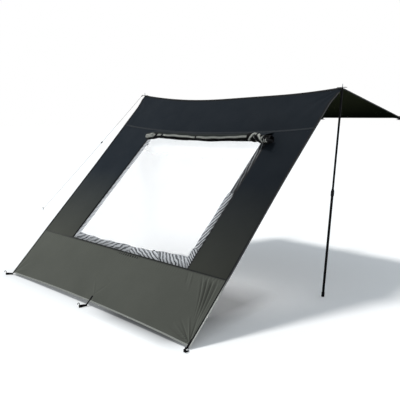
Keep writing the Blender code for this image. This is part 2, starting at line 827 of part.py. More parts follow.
def build_pole(mats, side, name, eyelet_low):
    """The pole leans in towards its foot; the tip's ball bears on the eyelet and its pin goes through."""
    seat = math.sqrt(BALL_RADIUS**2 - EYELET_BORE**2)
    drop = seat - eyelet_low + 2 * FIT
    top = RIDGE + Vector((side * POLE_TOP, 0.0, -drop))
    lean = math.atan2(POLE_LEAN, PEAK_HEIGHT)
    frame = empty(f"pole_{name}", top, (0.0, side * lean, 0.0))
    length = (top.z - GROUND) / math.cos(lean) - FOOT_RADIUS * math.tan(lean)

    stem = UPPER_RADIUS - TUBE_WALL - FIT
    shoulder = -BALL_RADIUS * 0.9
    rim = shoulder - 0.006
    ball = arc((0.0, 0.0), BALL_RADIUS, 68, -52, 5)
    profile = [
        (0.0, drop + PIN_RISE),
        (PIN_RADIUS * 0.45, drop + PIN_RISE - 0.001),
        (PIN_RADIUS, drop + PIN_RISE - 0.006),
        *ball,
        (UPPER_RADIUS, shoulder - 0.001),
        (UPPER_RADIUS, rim),
        (stem, rim),
        (stem, rim - TIP_STEM),
        (0.0, rim - TIP_STEM),
    ]
    place(turned(f"pole_tip_{name}", profile), mats["steel"], frame, smooth=True)

    upper_top = rim - FIT
    upper_end = upper_top - UPPER_LENGTH
    upper = hollow_tube(f"pole_upper_{name}", UPPER_RADIUS, upper_end, upper_top)
    place(upper, mats["pole"], frame, smooth=True)
    lower_top = upper_end + TUBE_OVERLAP
    lower = hollow_tube(f"pole_lower_{name}", LOWER_RADIUS, FOOT_FLOOR + FIT - length, lower_top)
    place(lower, mats["pole"], frame, smooth=True)
    build_collar(mats, frame, name, lower_top)
    build_foot(mats, frame, name, -length)


def hollow_tube(name, radius, low, high):
    inside = radius - TUBE_WALL
    return turned(name, [(inside, low), (inside, high), (radius, high), (radius, low)])


def build_collar(mats, frame, name, seat):
    """The twist lock: a ribbed grip round the lower tube's end, its neck close round the upper tube."""
    skirt, neck = LOWER_RADIUS + RUNNING_FIT, UPPER_RADIUS + RUNNING_FIT
    grip = COLLAR_RADIUS - COLLAR_RIB_DEPTH
    shell = [
        (skirt, seat - COLLAR_SKIRT),
        (skirt, seat + FIT),
        (neck, seat + FIT),
        (neck, seat + COLLAR_NECK),
        (neck + 0.0022, seat + COLLAR_NECK),
        (grip - 0.0010, seat + COLLAR_NECK * 0.35),
        (grip, seat),
        (grip, seat - COLLAR_SKIRT + 0.003),
        (grip - 0.0010, seat - COLLAR_SKIRT),
    ]
    collar = turned(f"pole_collar_{name}", shell, 2 * COLLAR_RIBS)
    for vertex in collar.data.vertices:
        reach = math.hypot(vertex.co.x, vertex.co.y)
        if reach > grip - COLLAR_RIB_DEPTH / 2 and vertex.co.z > seat - COLLAR_SKIRT + 0.001:
            ribs = COLLAR_RIBS * math.atan2(vertex.co.y, vertex.co.x)
            grow = 1.0 + COLLAR_RIB_DEPTH * max(0.0, math.cos(ribs)) / reach
            vertex.co.x *= grow
            vertex.co.y *= grow
    place(collar, mats["plastic"], frame, smooth=True)


def build_foot(mats, frame, name, end):
    """A rubber cup over the lower tube, with two raised rings round it and a flat sole."""
    wall = LOWER_RADIUS + FIT
    skin = wall + 0.0018
    top = end + FOOT_FLOOR + FOOT_CUP
    shell = [(0.0, end + FOOT_FLOOR), (wall, end + FOOT_FLOOR), (wall, top), (skin, top)]
    for ring in (0.005, 0.018):
        shell += [
            (skin, top - ring),
            (FOOT_RADIUS, top - ring - 0.002),
            (FOOT_RADIUS, top - ring - 0.006),
            (skin, top - ring - 0.008),
        ]
    shell += [(FOOT_RADIUS, end + FOOT_FLOOR), (FOOT_RADIUS, end + 0.002), (FOOT_RADIUS - 0.002, end), (0.0, end)]
    place(turned(f"pole_foot_{name}", shell), mats["rubber"], frame, smooth=True)


# Pegs and webbing loops

def teardrop(length, width, neck, inset=0.0):
    """A loop's outline in (along, across): a narrow neck at 0, widening to a round end at length."""
    bulb = arc((length - width / 2, 0.0), width / 2 - inset, -80, 80, 10)
    half = neck / 2 - inset
    return [(2 * inset, half), (2 * inset, -half), *bulb]


def hem_edge(x):
    """The hem's lower edge at x, from the origin."""
    return RIDGE + Matrix.Rotation(SLOPE, 4, "X") @ wall_place(x, SLANT, 0.0)


def build_peg(mats, name, ground_point, heading, head=PEG_HEAD):
    """A round steel peg driven upright, pointed below and bent over into an open hook above."""
    shaft = [Vector((0.0, 0.0, z)) for z in (-PEG_DEPTH, -PEG_DEPTH + 0.012, -PEG_DEPTH + 0.030, 0.0, head)]
    hook = [Vector((a, 0.0, head + b)) for a, b in arc((PEG_HOOK, 0.0), PEG_HOOK, 180, -30, 10)[1:]]
    turn = Matrix.Rotation(heading, 4, "Z")
    points = [turn @ point for point in shaft + hook]
    taper = [0.15, 0.7] + [1.0] * (len(points) - 2)
    return place(tube_curve(name, points, PEG_RADIUS, 2, taper), mats["steel"], None, ground_point)


def build_hem_loops(mats, frame):
    """Webbing sewn to the wall's foot: a flat tail up the wall, and a loop on edge that the peg stands in."""
    for x, turn, name in zip(LOOP_PLACES, LOOP_HEADINGS, ("left", "middle", "right")):
        heading = turn - math.pi / 2
        forward = Vector((math.cos(heading), math.sin(heading), 0.0))
        clear = CLOTH + FIT + (LOOP_NECK / 2 + BINDING_SIDE) * abs(forward.x)
        hem = hem_edge(x)
        fall = (hem.z - GROUND - LOOP_LIFT - LOOP_HEIGHT) / math.sin(SLOPE)
        start = hem + forward * clear - Vector((0.0, fall * math.cos(SLOPE), 0.0))
        start.z = GROUND + LOOP_LIFT + LOOP_HEIGHT / 2
        outer = teardrop(LOOP_LENGTH, LOOP_WIDTH, LOOP_NECK)
        inner = teardrop(LOOP_LENGTH, LOOP_WIDTH, LOOP_NECK, WEBBING)
        loop = prism(f"hem_loop_{name}", outer, -LOOP_HEIGHT / 2, LOOP_HEIGHT / 2, hole=inner)
        loop.data.transform(Matrix.Rotation(heading, 4, "Z"))
        place(loop, mats["webbing"], None, start)

        low = CLOTH / 2 + TAPE + 3 * FIT
        half = LOOP_TAIL_WIDTH / 2
        rows = [SLANT - LOOP_TAIL, SLANT - HEM_TAPE_WIDTH, SLANT, SLANT + fall + LOOP_LAP]
        tail = slab(f"hem_loop_{name}_tail", wall_place, [x - half, x, x + half], rows, low, low + WEBBING)
        combine(loop, place(tail, mats["webbing"], frame), "UNION")

        grip = LOOP_LENGTH - WEBBING - PEG_RADIUS - 2 * FIT
        stand = start + forward * grip
        stand.z = GROUND
        build_peg(mats, f"peg_{name}", stand, heading)


def build_edge_loops(mats, frame):
    """Small tie loops under the wall's side edges, just below the peaks."""
    neck = LOOP_NECK * 0.6
    outer = teardrop(EDGE_LOOP_LENGTH, EDGE_LOOP_WIDTH, neck)
    inner = teardrop(EDGE_LOOP_LENGTH, EDGE_LOOP_WIDTH, neck, WEBBING)
    half = EDGE_LOOP_HEIGHT / 2
    under = -CLOTH / 2 - TAPE - 2 * FIT - half
    for side, name in ((-1.0, "left"), (1.0, "right")):
        loop = prism(f"edge_loop_{name}", outer, -half, half, hole=inner)
        loop.data.transform(Matrix.Rotation(side * 0.35 - math.pi / 2, 4, "Z"))
        place(loop, mats["webbing"], frame, (side * (HALF_RIDGE - BINDING_WIDTH / 2), -EDGE_LOOP_ROW, under))


# Guy line

def guy_route():
    """A line pulled taut from the knot to the peg: straight but for a slight sag."""
    tie = RIDGE + Vector((-TAB_END - KNOT_REACH + KNOT_RADIUS * 0.5, 0.0, TAB_BASE + TAB_THICKNESS / 2))
    stop = Vector(GUY_END)
    start = tie + (stop - tie).normalized() * (KNOT_LENGTH + FIT)
    sag = Vector((0.0, 0.0, -4.0 * GUY_SLACK))
    return tie, [start.lerp(stop, s) + sag * s * (1.0 - s) for s in spaced(0.0, 1.0, GUY_POINTS - 1)]


def build_guy(mats):
    tie, route = guy_route()
    place(tube_curve("guy_line", route, GUY_DIAMETER / 2), mats["cord"])
    build_knot(mats, tie, (route[1] - route[0]).normalized())

    index = round(RUNNER_PLACE * (GUY_POINTS - 1))
    centre = route[index].lerp(route[index + 1], 0.5)
    half = RUNNER_LENGTH / 2
    body = box(
        "guy_runner",
        (-RUNNER_WIDTH / 2, -RUNNER_THICKNESS / 2, -half),
        (RUNNER_WIDTH / 2, RUNNER_THICKNESS / 2, half),
    )
    soften(body, 0.003)
    aim(place(body, mats["plastic"], None, centre), route[index + 1] - route[index])
    bore = GUY_DIAMETER / 2 + 2 * FIT
    ends = [(0.0, RUNNER_LENGTH), (bore, RUNNER_LENGTH), (bore, -RUNNER_LENGTH), (0.0, -RUNNER_LENGTH)]
    combine(body, place(turned("guy_runner_bore", ends, 16), mats["plastic"], body), "DIFFERENCE")

    end = route[-1]
    pull = end - route[-2]
    level = Vector((pull.x, pull.y, 0.0)).normalized()
    reach = PEG_RADIUS + FIT + GUY_DIAMETER / 2 * abs(pull.normalized().z)
    ground_point = end + level * reach
    ground_point.z = GROUND
    build_peg(mats, "guy_peg", ground_point, math.atan2(level.y, level.x), PEG_HEAD * 1.3)


def build_knot(mats, tie, along):
    """The line is tied through the tab's slot: an eye round the tab's end, closed by the knot."""
    knot_profile = [
        (0.0, 0.0),
        (KNOT_RADIUS * 0.7, 0.001),
        (KNOT_RADIUS, 0.006),
        (KNOT_RADIUS * 0.75, KNOT_LENGTH / 2),
        (KNOT_RADIUS, KNOT_LENGTH - 0.006),
        (KNOT_RADIUS * 0.6, KNOT_LENGTH - 0.001),
        (0.0, KNOT_LENGTH),
    ]
    knot = aim(place(turned("guy_knot", knot_profile, SMALL_SIDES), mats["cord"], None, tie, smooth=True), along)
    middle = (KNOT_REACH - SLOT_EDGE) / 2
    long, tall = (KNOT_REACH + SLOT_EDGE) / 2, EYE_HEIGHT
    centre = RIDGE + Vector((-TAB_END - middle, 0.0, TAB_BASE + TAB_THICKNESS / 2))
    bm = bmesh.new()
    rings = []
    for a, b in arc((0.0, 0.0), 1.0, 0, 337.5, 15):
        outward = Vector((a / long, 0.0, b / tall)).normalized()
        middle_line = Vector((a * long, 0.0, b * tall))
        section = arc((0.0, 0.0), GUY_DIAMETER / 2, 0, 315, 7)
        rings.append([bm.verts.new(middle_line + outward * c + Vector((0.0, d, 0.0))) for c, d in section])
    sleeve(bm, [*rings, rings[0]])
    eye = object_from(bm, "guy_knot_eye")
    combine(knot, place(eye, mats["cord"], None, centre), "UNION")


# Suction fixings on the vehicle's roof

def build_fixing(mats, x, name):
    """A suction pad under a cap, whose two arms hold a bar for the strap and whose ears hold the lever."""
    centre = Vector((x, 0.0, 0.0))
    pad = [
        (0.0, PAD_CROWN),
        (PAD_NECK, PAD_CROWN),
        (PAD_NECK + 0.004, PAD_CROWN * 0.75),
        (PAD_RADIUS * 0.72, PAD_LIP * 1.6),
        (PAD_RADIUS - 0.001, PAD_LIP),
        (PAD_RADIUS, PAD_LIP / 2),
        (PAD_RADIUS - 0.0015, 0.0),
        (0.0, 0.0),
    ]
    place(turned(f"cup_pad_{name}", pad), mats["rubber"], None, centre, smooth=True)

    floor = PAD_CROWN + FIT
    roof = floor + CAP_HEIGHT
    cap = [
        (0.0, roof),
        (CAP_RADIUS - 0.005, roof),
        (CAP_RADIUS - 0.002, roof - 0.002),
        (CAP_RADIUS, roof - 0.006),
        (CAP_RADIUS, floor),
        (0.0, floor),
    ]
    body = place(turned(f"cup_body_{name}", cap), mats["plastic"], None, centre, smooth=True)
    pin_height = roof + EAR_HEIGHT / 2 + 0.001
    bar_height = floor + 0.001 + ARM_THICKNESS / 2
    for side, end in ((-1.0, "a"), (1.0, "b")):
        inner = side * (LEVER_WIDTH / 2 + FIT)
        outline = [(-0.008, roof - 0.004), (0.008, roof - 0.004), *arc((0.0, pin_height), 0.0075, 10, 170, 6)]
        ear = prism(f"cup_body_{name}_ear_{end}", outline, inner, inner + side * EAR_THICKNESS, axes=(1, 2, 0))
        combine(body, place(ear, mats["plastic"], None, centre), "UNION")
        near = side * (STRAP_WIDTH / 2 + 2 * FIT)
        low, high = sorted((near, side * ARM_SPREAD / 2))
        arm = box(
            f"cup_body_{name}_arm_{end}",
            (low, BAR_PLACE - 2 * BAR_RADIUS, bar_height - ARM_THICKNESS / 2),
            (high, -CAP_RADIUS / 2, bar_height + ARM_THICKNESS / 2),
        )
        combine(body, place(arm, mats["plastic"], None, centre), "UNION")
    bar_at = centre + Vector((0.0, BAR_PLACE, bar_height))
    bar = rod(f"cup_body_{name}_bar", BAR_RADIUS, ARM_SPREAD - 0.004)
    combine(body, place(bar, mats["plastic"], None, bar_at), "UNION")
    pin_at = centre + Vector((0.0, 0.0, pin_height))
    pin = rod(f"cup_body_{name}_pin", LEVER_PIN, LEVER_WIDTH + 2 * EAR_THICKNESS - 0.001)
    combine(body, place(pin, mats["plastic"], None, pin_at), "UNION")
    build_lever(mats, name, pin_at, roof)
    build_strap(mats, name, bar_at)


def build_lever(mats, name, pin_at, roof):
    """A cam-ended flap: it lies over the cap and lifts about the pin."""
    rest = roof + 2 * FIT - pin_at.z
    outline = [
        (0.006, rest),
        *arc((LEVER_LENGTH - 0.004, rest + 0.006), 0.004, -60, 60, 4),
        (0.012, rest + LEVER_THICKNESS + 0.006),
        *arc((0.0, 0.0), 0.0072, 70, 280, 8),
    ]
    lever = prism(f"cup_lever_{name}", outline, -LEVER_WIDTH / 2, LEVER_WIDTH / 2, axes=(1, 2, 0))
    place(lever, mats["plastic"], None, pin_at)
    bore = rod(f"cup_lever_{name}_bore", LEVER_PIN + FIT, LEVER_WIDTH * 1.5)
    combine(lever, place(bore, mats["plastic"], lever), "DIFFERENCE")


def build_strap(mats, name, bar_at):
    """Doubled webbing, sewn on the roof's rear hem at one end and with an eye round the cup's bar."""
    share = bar_at.x / roof_half(1.0) * HALF_RIDGE
    lift = CLOTH / 2 + WEBBING + 4 * FIT
    sewn = roof_place(share, 1.0 - REAR_WEBBING_WIDTH / REAR_HEM_REACH, lift)
    edge = roof_place(share, 1.0, lift)
    bar = (bar_at.y, bar_at.z)
    bore = BAR_RADIUS + 2 * FIT
    eye_length = 4.0 * BAR_RADIUS
    slope = (bar[1] - edge.z) / (bar[0] - edge.y)
    neck_y = bar[0] - eye_length
    neck_z = bar[1] - slope * eye_length
    outer = [
        (sewn.y, sewn.z + 2 * WEBBING),
        (edge.y, edge.z + 2 * WEBBING),
        (neck_y, neck_z + WEBBING),
        *arc(bar, bore + WEBBING, 100, -100, 10),
        (neck_y, neck_z - WEBBING),
        (edge.y, edge.z),
        (sewn.y, sewn.z),
    ]
    half = STRAP_WIDTH / 2
    made = prism(f"strap_{name}", outer, -half, half, axes=(1, 2, 0))
    place(made, mats["webbing"], None, (bar_at.x, 0.0, 0.0))
    hole = [(neck_y + WEBBING, neck_z), *arc(bar, bore, 110, -110, 10)]
    eye = prism(f"strap_{name}_eye", hole, -STRAP_WIDTH, STRAP_WIDTH, axes=(1, 2, 0))
    combine(made, place(eye, mats["webbing"], None, (bar_at.x, 0.0, 0.0)), "DIFFERENCE")


def main():
    clear_scene()
    mats = {
        "cloth": material("cloth", (0.045, 0.050, 0.055), 0.55),
        "cover": material("cover", (0.110, 0.112, 0.105), 0.60),
        "binding": material("binding", (0.020, 0.021, 0.023), 0.65),
        "seam": material("seam", (0.120, 0.125, 0.130), 0.50),
        "hem": material("hem", (0.420, 0.425, 0.390), 0.60),
        "webbing": material("webbing", (0.015, 0.015, 0.016), 0.70),
        "film": material("film", (0.90, 0.92, 0.93), 0.08, 0.0, 0.25),
        "pole": material("pole", (0.012, 0.012, 0.013), 0.35, 0.3),
        "plastic": material("plastic", (0.020, 0.020, 0.022), 0.45),
        "rubber": material("rubber", (0.015, 0.015, 0.015), 0.80),
        "steel": material("steel", (0.55, 0.56, 0.57), 0.30, 1.0),
        "cord": material("cord", (0.55, 0.56, 0.57), 0.75),
    }
    wall_frame = empty("wall_frame", RIDGE, (SLOPE, 0.0, 0.0))
    build_roof(mats)
    build_ridge_tape(mats)
    build_wall(mats, wall_frame)
    build_cover(mats, wall_frame)
    build_edge_loops(mats, wall_frame)
    build_hem_loops(mats, wall_frame)
    for side, name in ((-1.0, "left"), (1.0, "right")):
        eyelet_low = build_peak(mats, side, name)
        build_pole(mats, side, name, eyelet_low)
    build_guy(mats)
    for x, name in zip(PAD_PLACES, ("left", "middle", "right")):
        build_fixing(mats, x, name)


main()
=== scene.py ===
"""Looks of the vehicle side awning: cloth, film, rolled cover, webbing, poles, pegs and guy line.

Metres, +Z up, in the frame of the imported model.
The wall's pieces are made flat, then tilted about the ridge: x along the ridge, row down the slope,
height out of the wall.
"""

import math

import bmesh
import bpy
import numpy as np
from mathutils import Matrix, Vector
from numpy import cos, exp, hypot, sin


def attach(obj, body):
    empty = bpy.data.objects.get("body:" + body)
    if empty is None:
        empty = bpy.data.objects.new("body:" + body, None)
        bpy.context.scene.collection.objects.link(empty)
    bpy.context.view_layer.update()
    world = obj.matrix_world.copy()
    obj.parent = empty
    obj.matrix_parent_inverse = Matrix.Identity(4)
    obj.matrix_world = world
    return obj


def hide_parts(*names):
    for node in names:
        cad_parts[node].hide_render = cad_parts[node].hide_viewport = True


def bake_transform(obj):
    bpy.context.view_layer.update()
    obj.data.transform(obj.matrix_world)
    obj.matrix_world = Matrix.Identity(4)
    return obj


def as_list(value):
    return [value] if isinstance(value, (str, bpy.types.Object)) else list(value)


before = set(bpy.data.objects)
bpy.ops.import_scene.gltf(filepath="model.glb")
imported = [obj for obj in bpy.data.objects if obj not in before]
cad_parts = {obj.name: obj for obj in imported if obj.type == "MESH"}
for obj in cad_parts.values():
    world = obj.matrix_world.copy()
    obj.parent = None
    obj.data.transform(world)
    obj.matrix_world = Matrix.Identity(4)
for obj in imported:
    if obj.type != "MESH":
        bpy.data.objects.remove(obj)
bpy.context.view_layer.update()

# The model's sizes
PEAK_HEIGHT = 2.00
PAD_HEIGHT = 1.7
ROOF_REACH = 1.7
HALF_RIDGE = 1.49
RIDGE_LEVEL = 0.035
RIDGE_SAG = 0.12
WALL_RUN = 1.86
HEM_HEIGHT = 0.02
HEM_ARCH = 0.03
HALF_HEM = 1.22
REAR_HEM_REACH = 1.54
REAR_HEM_RISE = 0.022
REAR_TAPE = 0.038
ROOF_BELLY = 0.035
CLOTH = 0.001
TAPE = 0.0008
WEBBING = 0.0016
FIT = 0.0003
RIDGE_SEAM = 0.003
CORNER_CLIP = 0.03
BINDING_WIDTH = 0.022
UPPER_SEAM = 0.5
LOWER_SEAM = 2.12
WINDOW_HEAD = 0.615
WINDOW_LEFT_TOP = -0.815
WINDOW_LEFT_FOOT = -0.89
WINDOW_RIGHT = 1.002
HEM_TAPE = 0.014
SEAM_TAPE = 0.02
PEG_FAN = 0.36
PLEAT = 0.0045
PLEAT_PITCH = 0.066
PLEATS_FROM = 1.148
PLEATS_TO = 1.45
PLEAT_GATHER = 0.8
ROLL_ROW = 0.615
ROLL_LEFT = -0.752
ROLL_RIGHT = 1.085
ROLL_RADIUS = 0.036

SLOPE = math.atan2(PEAK_HEIGHT - HEM_HEIGHT, WALL_RUN)
SLANT = math.hypot(PEAK_HEIGHT - HEM_HEIGHT, WALL_RUN)
RIDGE = Vector((0, -ROOF_REACH, PEAK_HEIGHT - PAD_HEIGHT))
GROUND = -PAD_HEIGHT
DOWN = Vector((0, -math.cos(SLOPE), -math.sin(SLOPE)))
OUT = Vector((0, -math.sin(SLOPE), math.cos(SLOPE)))
INSIDE_BINDING = HALF_RIDGE - BINDING_WIDTH
EYELET_TOP = 0.3055

# Fine detail that only the scene has
WEAVE_PITCH = 0.0011
WEAVE_DEPTH = 0.00018
STITCH_PITCH = 0.0042
SHARP_EDGE = math.radians(50)
FILM_MARKS = ("gather", "phase", "tone", "sewn", "lift")


# Materials

class Wire:
    """A node's output; a sum, difference or product of it adds a math node."""

    def __init__(self, surface, socket):
        self.surface, self.socket = surface, socket

    def __add__(self, other):
        return self.surface.math("ADD", self, other)

    def __sub__(self, other):
        return self.surface.math("SUBTRACT", self, other)

    def __mul__(self, other):
        return self.surface.math("MULTIPLY", self, other)


class Surface:
    """A node material round one Principled shader, with short ways to add its nodes."""

    def __init__(self, name, colour, roughness, **plain):
        self.mat = bpy.data.materials.new(name)
        self.mat.use_nodes = True
        self.inputs = self.mat.node_tree.nodes["Principled BSDF"].inputs
        self.inputs["Base Color"].default_value = (*colour, 1)
        self.inputs["Roughness"].default_value = roughness
        for key, value in plain.items():
            self.inputs[key.replace("_", " ")].default_value = value
        self.bumped = None
        self.place = self.add("TexCoord", "Object")

    def add(self, kind, output, inputs=None, **options):
        """A new node fed with inputs; gives one of its outputs."""
        node = self.mat.node_tree.nodes.new("ShaderNode" + kind)
        for key, value in options.items():
            setattr(node, key, value)
        for key, value in (inputs or {}).items():
            self.feed(node.inputs[key], value)
        return Wire(self, node.outputs[output])

    def feed(self, socket, value):
        if isinstance(value, Wire):
            self.mat.node_tree.links.new(value.socket, socket)
        else:
            socket.default_value = value

    def math(self, operation, first, second=0, third=0):
        return self.add("Math", 0, {0: first, 1: second, 2: third}, operation=operation)

    def noise(self, scale, detail=3, roughness=0.55, place=None):
        inputs = {"Scale": scale, "Detail": detail, "Roughness": roughness, "Vector": place or self.place}
        return self.add("TexNoise", "Fac", inputs)

    def mottle(self, low, high, *noise):
        """Soft noise between two values."""
        return self.ramp(self.noise(*noise), 0.3, 0.7, low, high)

    def wave(self, period, direction, place=None):
        """Even bands, period metres apart."""
        inputs = {"Scale": 0.31416 / period, "Vector": place or self.place}
        return self.add("TexWave", "Fac", inputs, wave_type="BANDS", bands_direction=direction)

    def ramp(self, value, low, high, bottom=0, top=1):
        inputs = {"Value": value, "From Min": low, "From Max": high, "To Min": bottom, "To Max": top}
        return self.add("MapRange", "Result", inputs, clamp=True)

    def mix(self, share, first, second):
        colours = [(*value, 1) if isinstance(value, tuple) else value for value in (first, second)]
        inputs = {0: share, 6: colours[0], 7: colours[1]}
        return self.add("Mix", 2, inputs, data_type="RGBA", clamp_factor=True)

    def times(self, colour, share):
        """A colour made darker or lighter by a share."""
        return self.add("VectorMath", 0, {0: colour, "Scale": share}, operation="SCALE")

    def part(self, axis, place=None):
        return self.add("SeparateXYZ", axis, {0: place or self.place})

    def attribute(self, name):
        return self.add("Attribute", "Fac", attribute_name=name)

    def cut_uv(self):
        return self.add("UVMap", "UV", uv_map="cut")

    def paint(self, colour):
        self.feed(self.inputs["Base Color"], colour)

    def rough(self, value):
        self.feed(self.inputs["Roughness"], value)

    def bump(self, height, distance, strength=1):
        inputs = {"Height": height, "Distance": distance, "Strength": strength}
        if self.bumped:
            inputs["Normal"] = self.bumped
        self.bumped = self.add("Bump", "Normal", inputs)
        self.feed(self.inputs["Normal"], self.bumped)


def scaled(colour, share):
    return tuple(min(1, value * share) for value in colour)


def weave(made, uv):
    """Warp and weft standing proud in turn."""
    warp, weft = (made.wave(WEAVE_PITCH, axis, uv) for axis in "XY")
    made.bump(warp * weft, WEAVE_DEPTH, 0.5)


def stitches(made, lines, uv):
    """1 on the threads of rows of stitches; lines are their places across, on UV maps in metres."""
    along, across = made.part("X", uv), made.part("Y", uv)
    step = made.math("FRACT", made.math("DIVIDE", along, STITCH_PITCH))
    dash = made.math("LESS_THAN", made.math("ABSOLUTE", step - 0.5), 0.36)
    rows = 0
    for line in lines:
        near = made.math("LESS_THAN", made.math("ABSOLUTE", across - line), 0.0006)
        rows = made.math("MAXIMUM", near, rows)
    return dash * rows


def cloth(name, colour, low_colour=None, roughness=0.62, sheen=0.01, across=0, gloss=0.03,
          painted_light_ramp=("Z", -0.55, -1.38), outside=None):
    """Coated plain-woven cloth: fine weave, soft mottling and painted light along painted_light_ramp to
    low_colour.
    """
    made = Surface(name, colour, roughness, Sheen_Weight=sheen, Sheen_Roughness=0.5,
                   Specular_IOR_Level=gloss)
    uv = made.cut_uv()
    # Painted light: along painted_light_ramp the wall gets lighter towards its foot and the roof's
    # underside darker towards its rear
    base = made.mix(made.ramp(made.part(painted_light_ramp[0]), *painted_light_ramp[1:]), colour, low_colour or colour)
    # Where it faces up it takes outside; the rest is painted shade for the underside
    if outside:
        upward = made.part("Z", made.add("TexCoord", "Normal"))
        base = made.mix(made.ramp(upward, -0.1, 0.1), base, outside)
    threads = made.add("Mapping", "Vector", {"Vector": uv, "Scale": (14, 900, 1)})
    shade = made.mottle(0.94, 1.06, 2.3, 5) * made.mottle(0.94, 1.06, 1, 2, 0.6, threads)
    # Painted light and shade on the folds, by the fold attribute
    shade = shade * (made.attribute("fold") + 1)
    # Painted light from the left: lighter towards the left, more so lower down
    if across:
        slope = made.ramp(made.part("Z"), 0.1, -0.6, -0.3 * across, -across)
        shade = shade * (made.part("X") * slope + 1)
    made.paint(made.times(base, shade))
    made.rough(made.mottle(roughness - 0.06, roughness + 0.08, 5, 3))
    weave(made, uv)
    made.bump(made.noise(16, 4), 0.0012, 0.3)
    return made.mat


def tape(name, colour, lines, thread, lower=None):
    """Ribbed woven tape or webbing with rows of stitches; lower is its colour below and at the left."""
    made = Surface(name, colour, 0.6, Sheen_Weight=0.02, Specular_IOR_Level=0.06)
    uv = made.cut_uv()
    fleck = made.mottle(0.82, 1.18, 260, 2)
    base = made.times(colour, fleck)
    if lower:
        # Below its middle it takes the pale bottom panel's colour, and towards its left end it is painted
        # lighter by light from the left, like the cloth beside it
        below = made.ramp(made.part("Y", uv), 0.001, 0.004)
        pale_and_painted_light = made.math("MAXIMUM", below, made.ramp(made.part("X"), -0.7, -1.1))
        base = made.mix(pale_and_painted_light, base, made.times(lower, fleck))
    seam = stitches(made, lines, uv)
    made.paint(made.mix(seam, base, thread))
    made.bump(made.wave(0.0016, "X", uv), 0.00025, 0.6)
    made.bump(seam, 0.0004, 0.8)
    return made.mat


def piping():
    """The cord in the bound edge: dark above, with a painted highlight that makes it pale near the ground.
    """
    made = Surface("piping_grey", (0.05, 0.05, 0.05), 0.6, Specular_IOR_Level=0.08)
    # Painted highlight: pale near the ground
    pale_and_painted_light = made.mix(made.ramp(made.part("Z"), -1.2, -1.38), (0.04, 0.041, 0.043), (0.46, 0.46, 0.43))
    made.paint(made.times(pale_and_painted_light, made.mottle(0.8, 1.2, 90, 3)))
    made.bump(made.noise(600, 2), 0.0002, 0.5)
    return made.mat


def webbing(name, colour):
    """Polyester webbing on solid pieces: cross ribs and a fleck, without UV maps."""
    made = Surface(name, colour, 0.7, Sheen_Weight=0.02, Specular_IOR_Level=0.06)
    made.paint(made.times(colour, made.mottle(0.7, 1.35, 420, 2)))
    made.bump(made.wave(0.0021, "X") * made.wave(0.0021, "Y"), 0.0003, 0.6)
    return made.mat


def film():
    """Soft film: what lies behind shows through it blurred and pale."""
    made = Surface("film_clear", (0.92, 0.925, 0.93), 0.34, IOR=1.25, Transmission_Weight=0.85)
    made.rough(made.mottle(0.28, 0.4, 4, 4) * made.ramp(made.part("Z"), -0.4, -0.22, 1, 0.3))
    cloud = made.ramp(made.noise(2.2, 3), 0.35, 0.65)
    made.paint(made.mix(cloud, (0.91, 0.914, 0.918), (0.935, 0.935, 0.935)))
    made.bump(made.noise(9, 3), 0.001, 0.25)
    return made.mat


def gathered_film():
    """The film's margin, creased into its seam: painted highlights on its ridges, painted shade in its
    hollows and a black painted shadow along the seam.
    """
    made = Surface("film_gathered", (0.45, 0.46, 0.47), 0.4, Specular_IOR_Level=0.08)
    gather, phase, tone, sewn, lift = (made.attribute(name) for name in FILM_MARKS)
    bent = phase + (made.noise(13, 3) - 0.5) * 9
    fine = made.math("SINE", bent * 2.37 + 0.9)
    both = made.math("SINE", bent) * 0.74 + fine * 0.3
    patchy = made.ramp(made.noise(11, 2), 0.36, 0.64, 0.45, 1)
    streak = made.ramp(both * patchy + lift, -0.48, 0.55)
    # Painted light on the creases: pale highlights on the ridges, dark shade in the hollows
    colour = made.mix(streak, (0.02, 0.023, 0.028), (0.8, 0.81, 0.83))
    # Black along the seam: painted shadow where the film lies recessed behind the cloth
    made.paint(made.mix(sewn, made.times(colour, tone), (0.006, 0.006, 0.007)))
    made.feed(made.inputs["Alpha"], made.ramp(gather, 0.1, 0.75, 0, 0.97))
    made.bump(streak, 0.0035, 0.8)
    return made.mat


def rolled_cloth():
    """The rolled flap: a pale band, partly its inner side and partly painted highlight, the dark outer
    side above and painted black shadow below.
    """
    made = Surface("cover_rolled", (0.24, 0.24, 0.22), 0.6, Specular_IOR_Level=0.02)
    along = made.part("X")
    # Painted light on the pale band: lighter towards the left, and brighter on the bunched end's folds
    painted_light_along = made.ramp(along, -0.8, 0.8, 1.35, 0.9) + made.ramp(along, 0.79, 0.84, 0, 0.85)
    # The pale band: partly the flap's inner side, partly painted highlight
    inner = made.times((0.27, 0.27, 0.245), made.mottle(0.82, 1.15, 60, 4) * painted_light_along)
    # Black where the roll's underside lies in shade: painted shadow; above the band the outer side's own
    # dark colour
    dark = made.mix(made.attribute("above"), (0.003, 0.003, 0.003), (0.021, 0.024, 0.023))
    made.paint(made.mix(made.attribute("pale"), dark, inner))
    weave(made, made.cut_uv())
    made.bump(made.noise(45, 4), 0.0016, 0.4)
    return made.mat


def hard(name, colour, roughness, grain, depth):
    """Painted, plated or moulded: fine grain, faint scuffs and uneven gloss."""
    made = Surface(name, colour, roughness, Specular_IOR_Level=0.08)
    scuff = made.ramp(made.noise(55, 6, 0.7), 0.56, 0.72)
    made.paint(made.mix(scuff, scaled(colour, 0.9), scaled(colour, 1.8)))
    made.rough(made.mottle(roughness - 0.07, roughness + 0.1, 35, 4))
    made.bump(made.noise(grain, 2), depth, 0.4)
    return made.mat


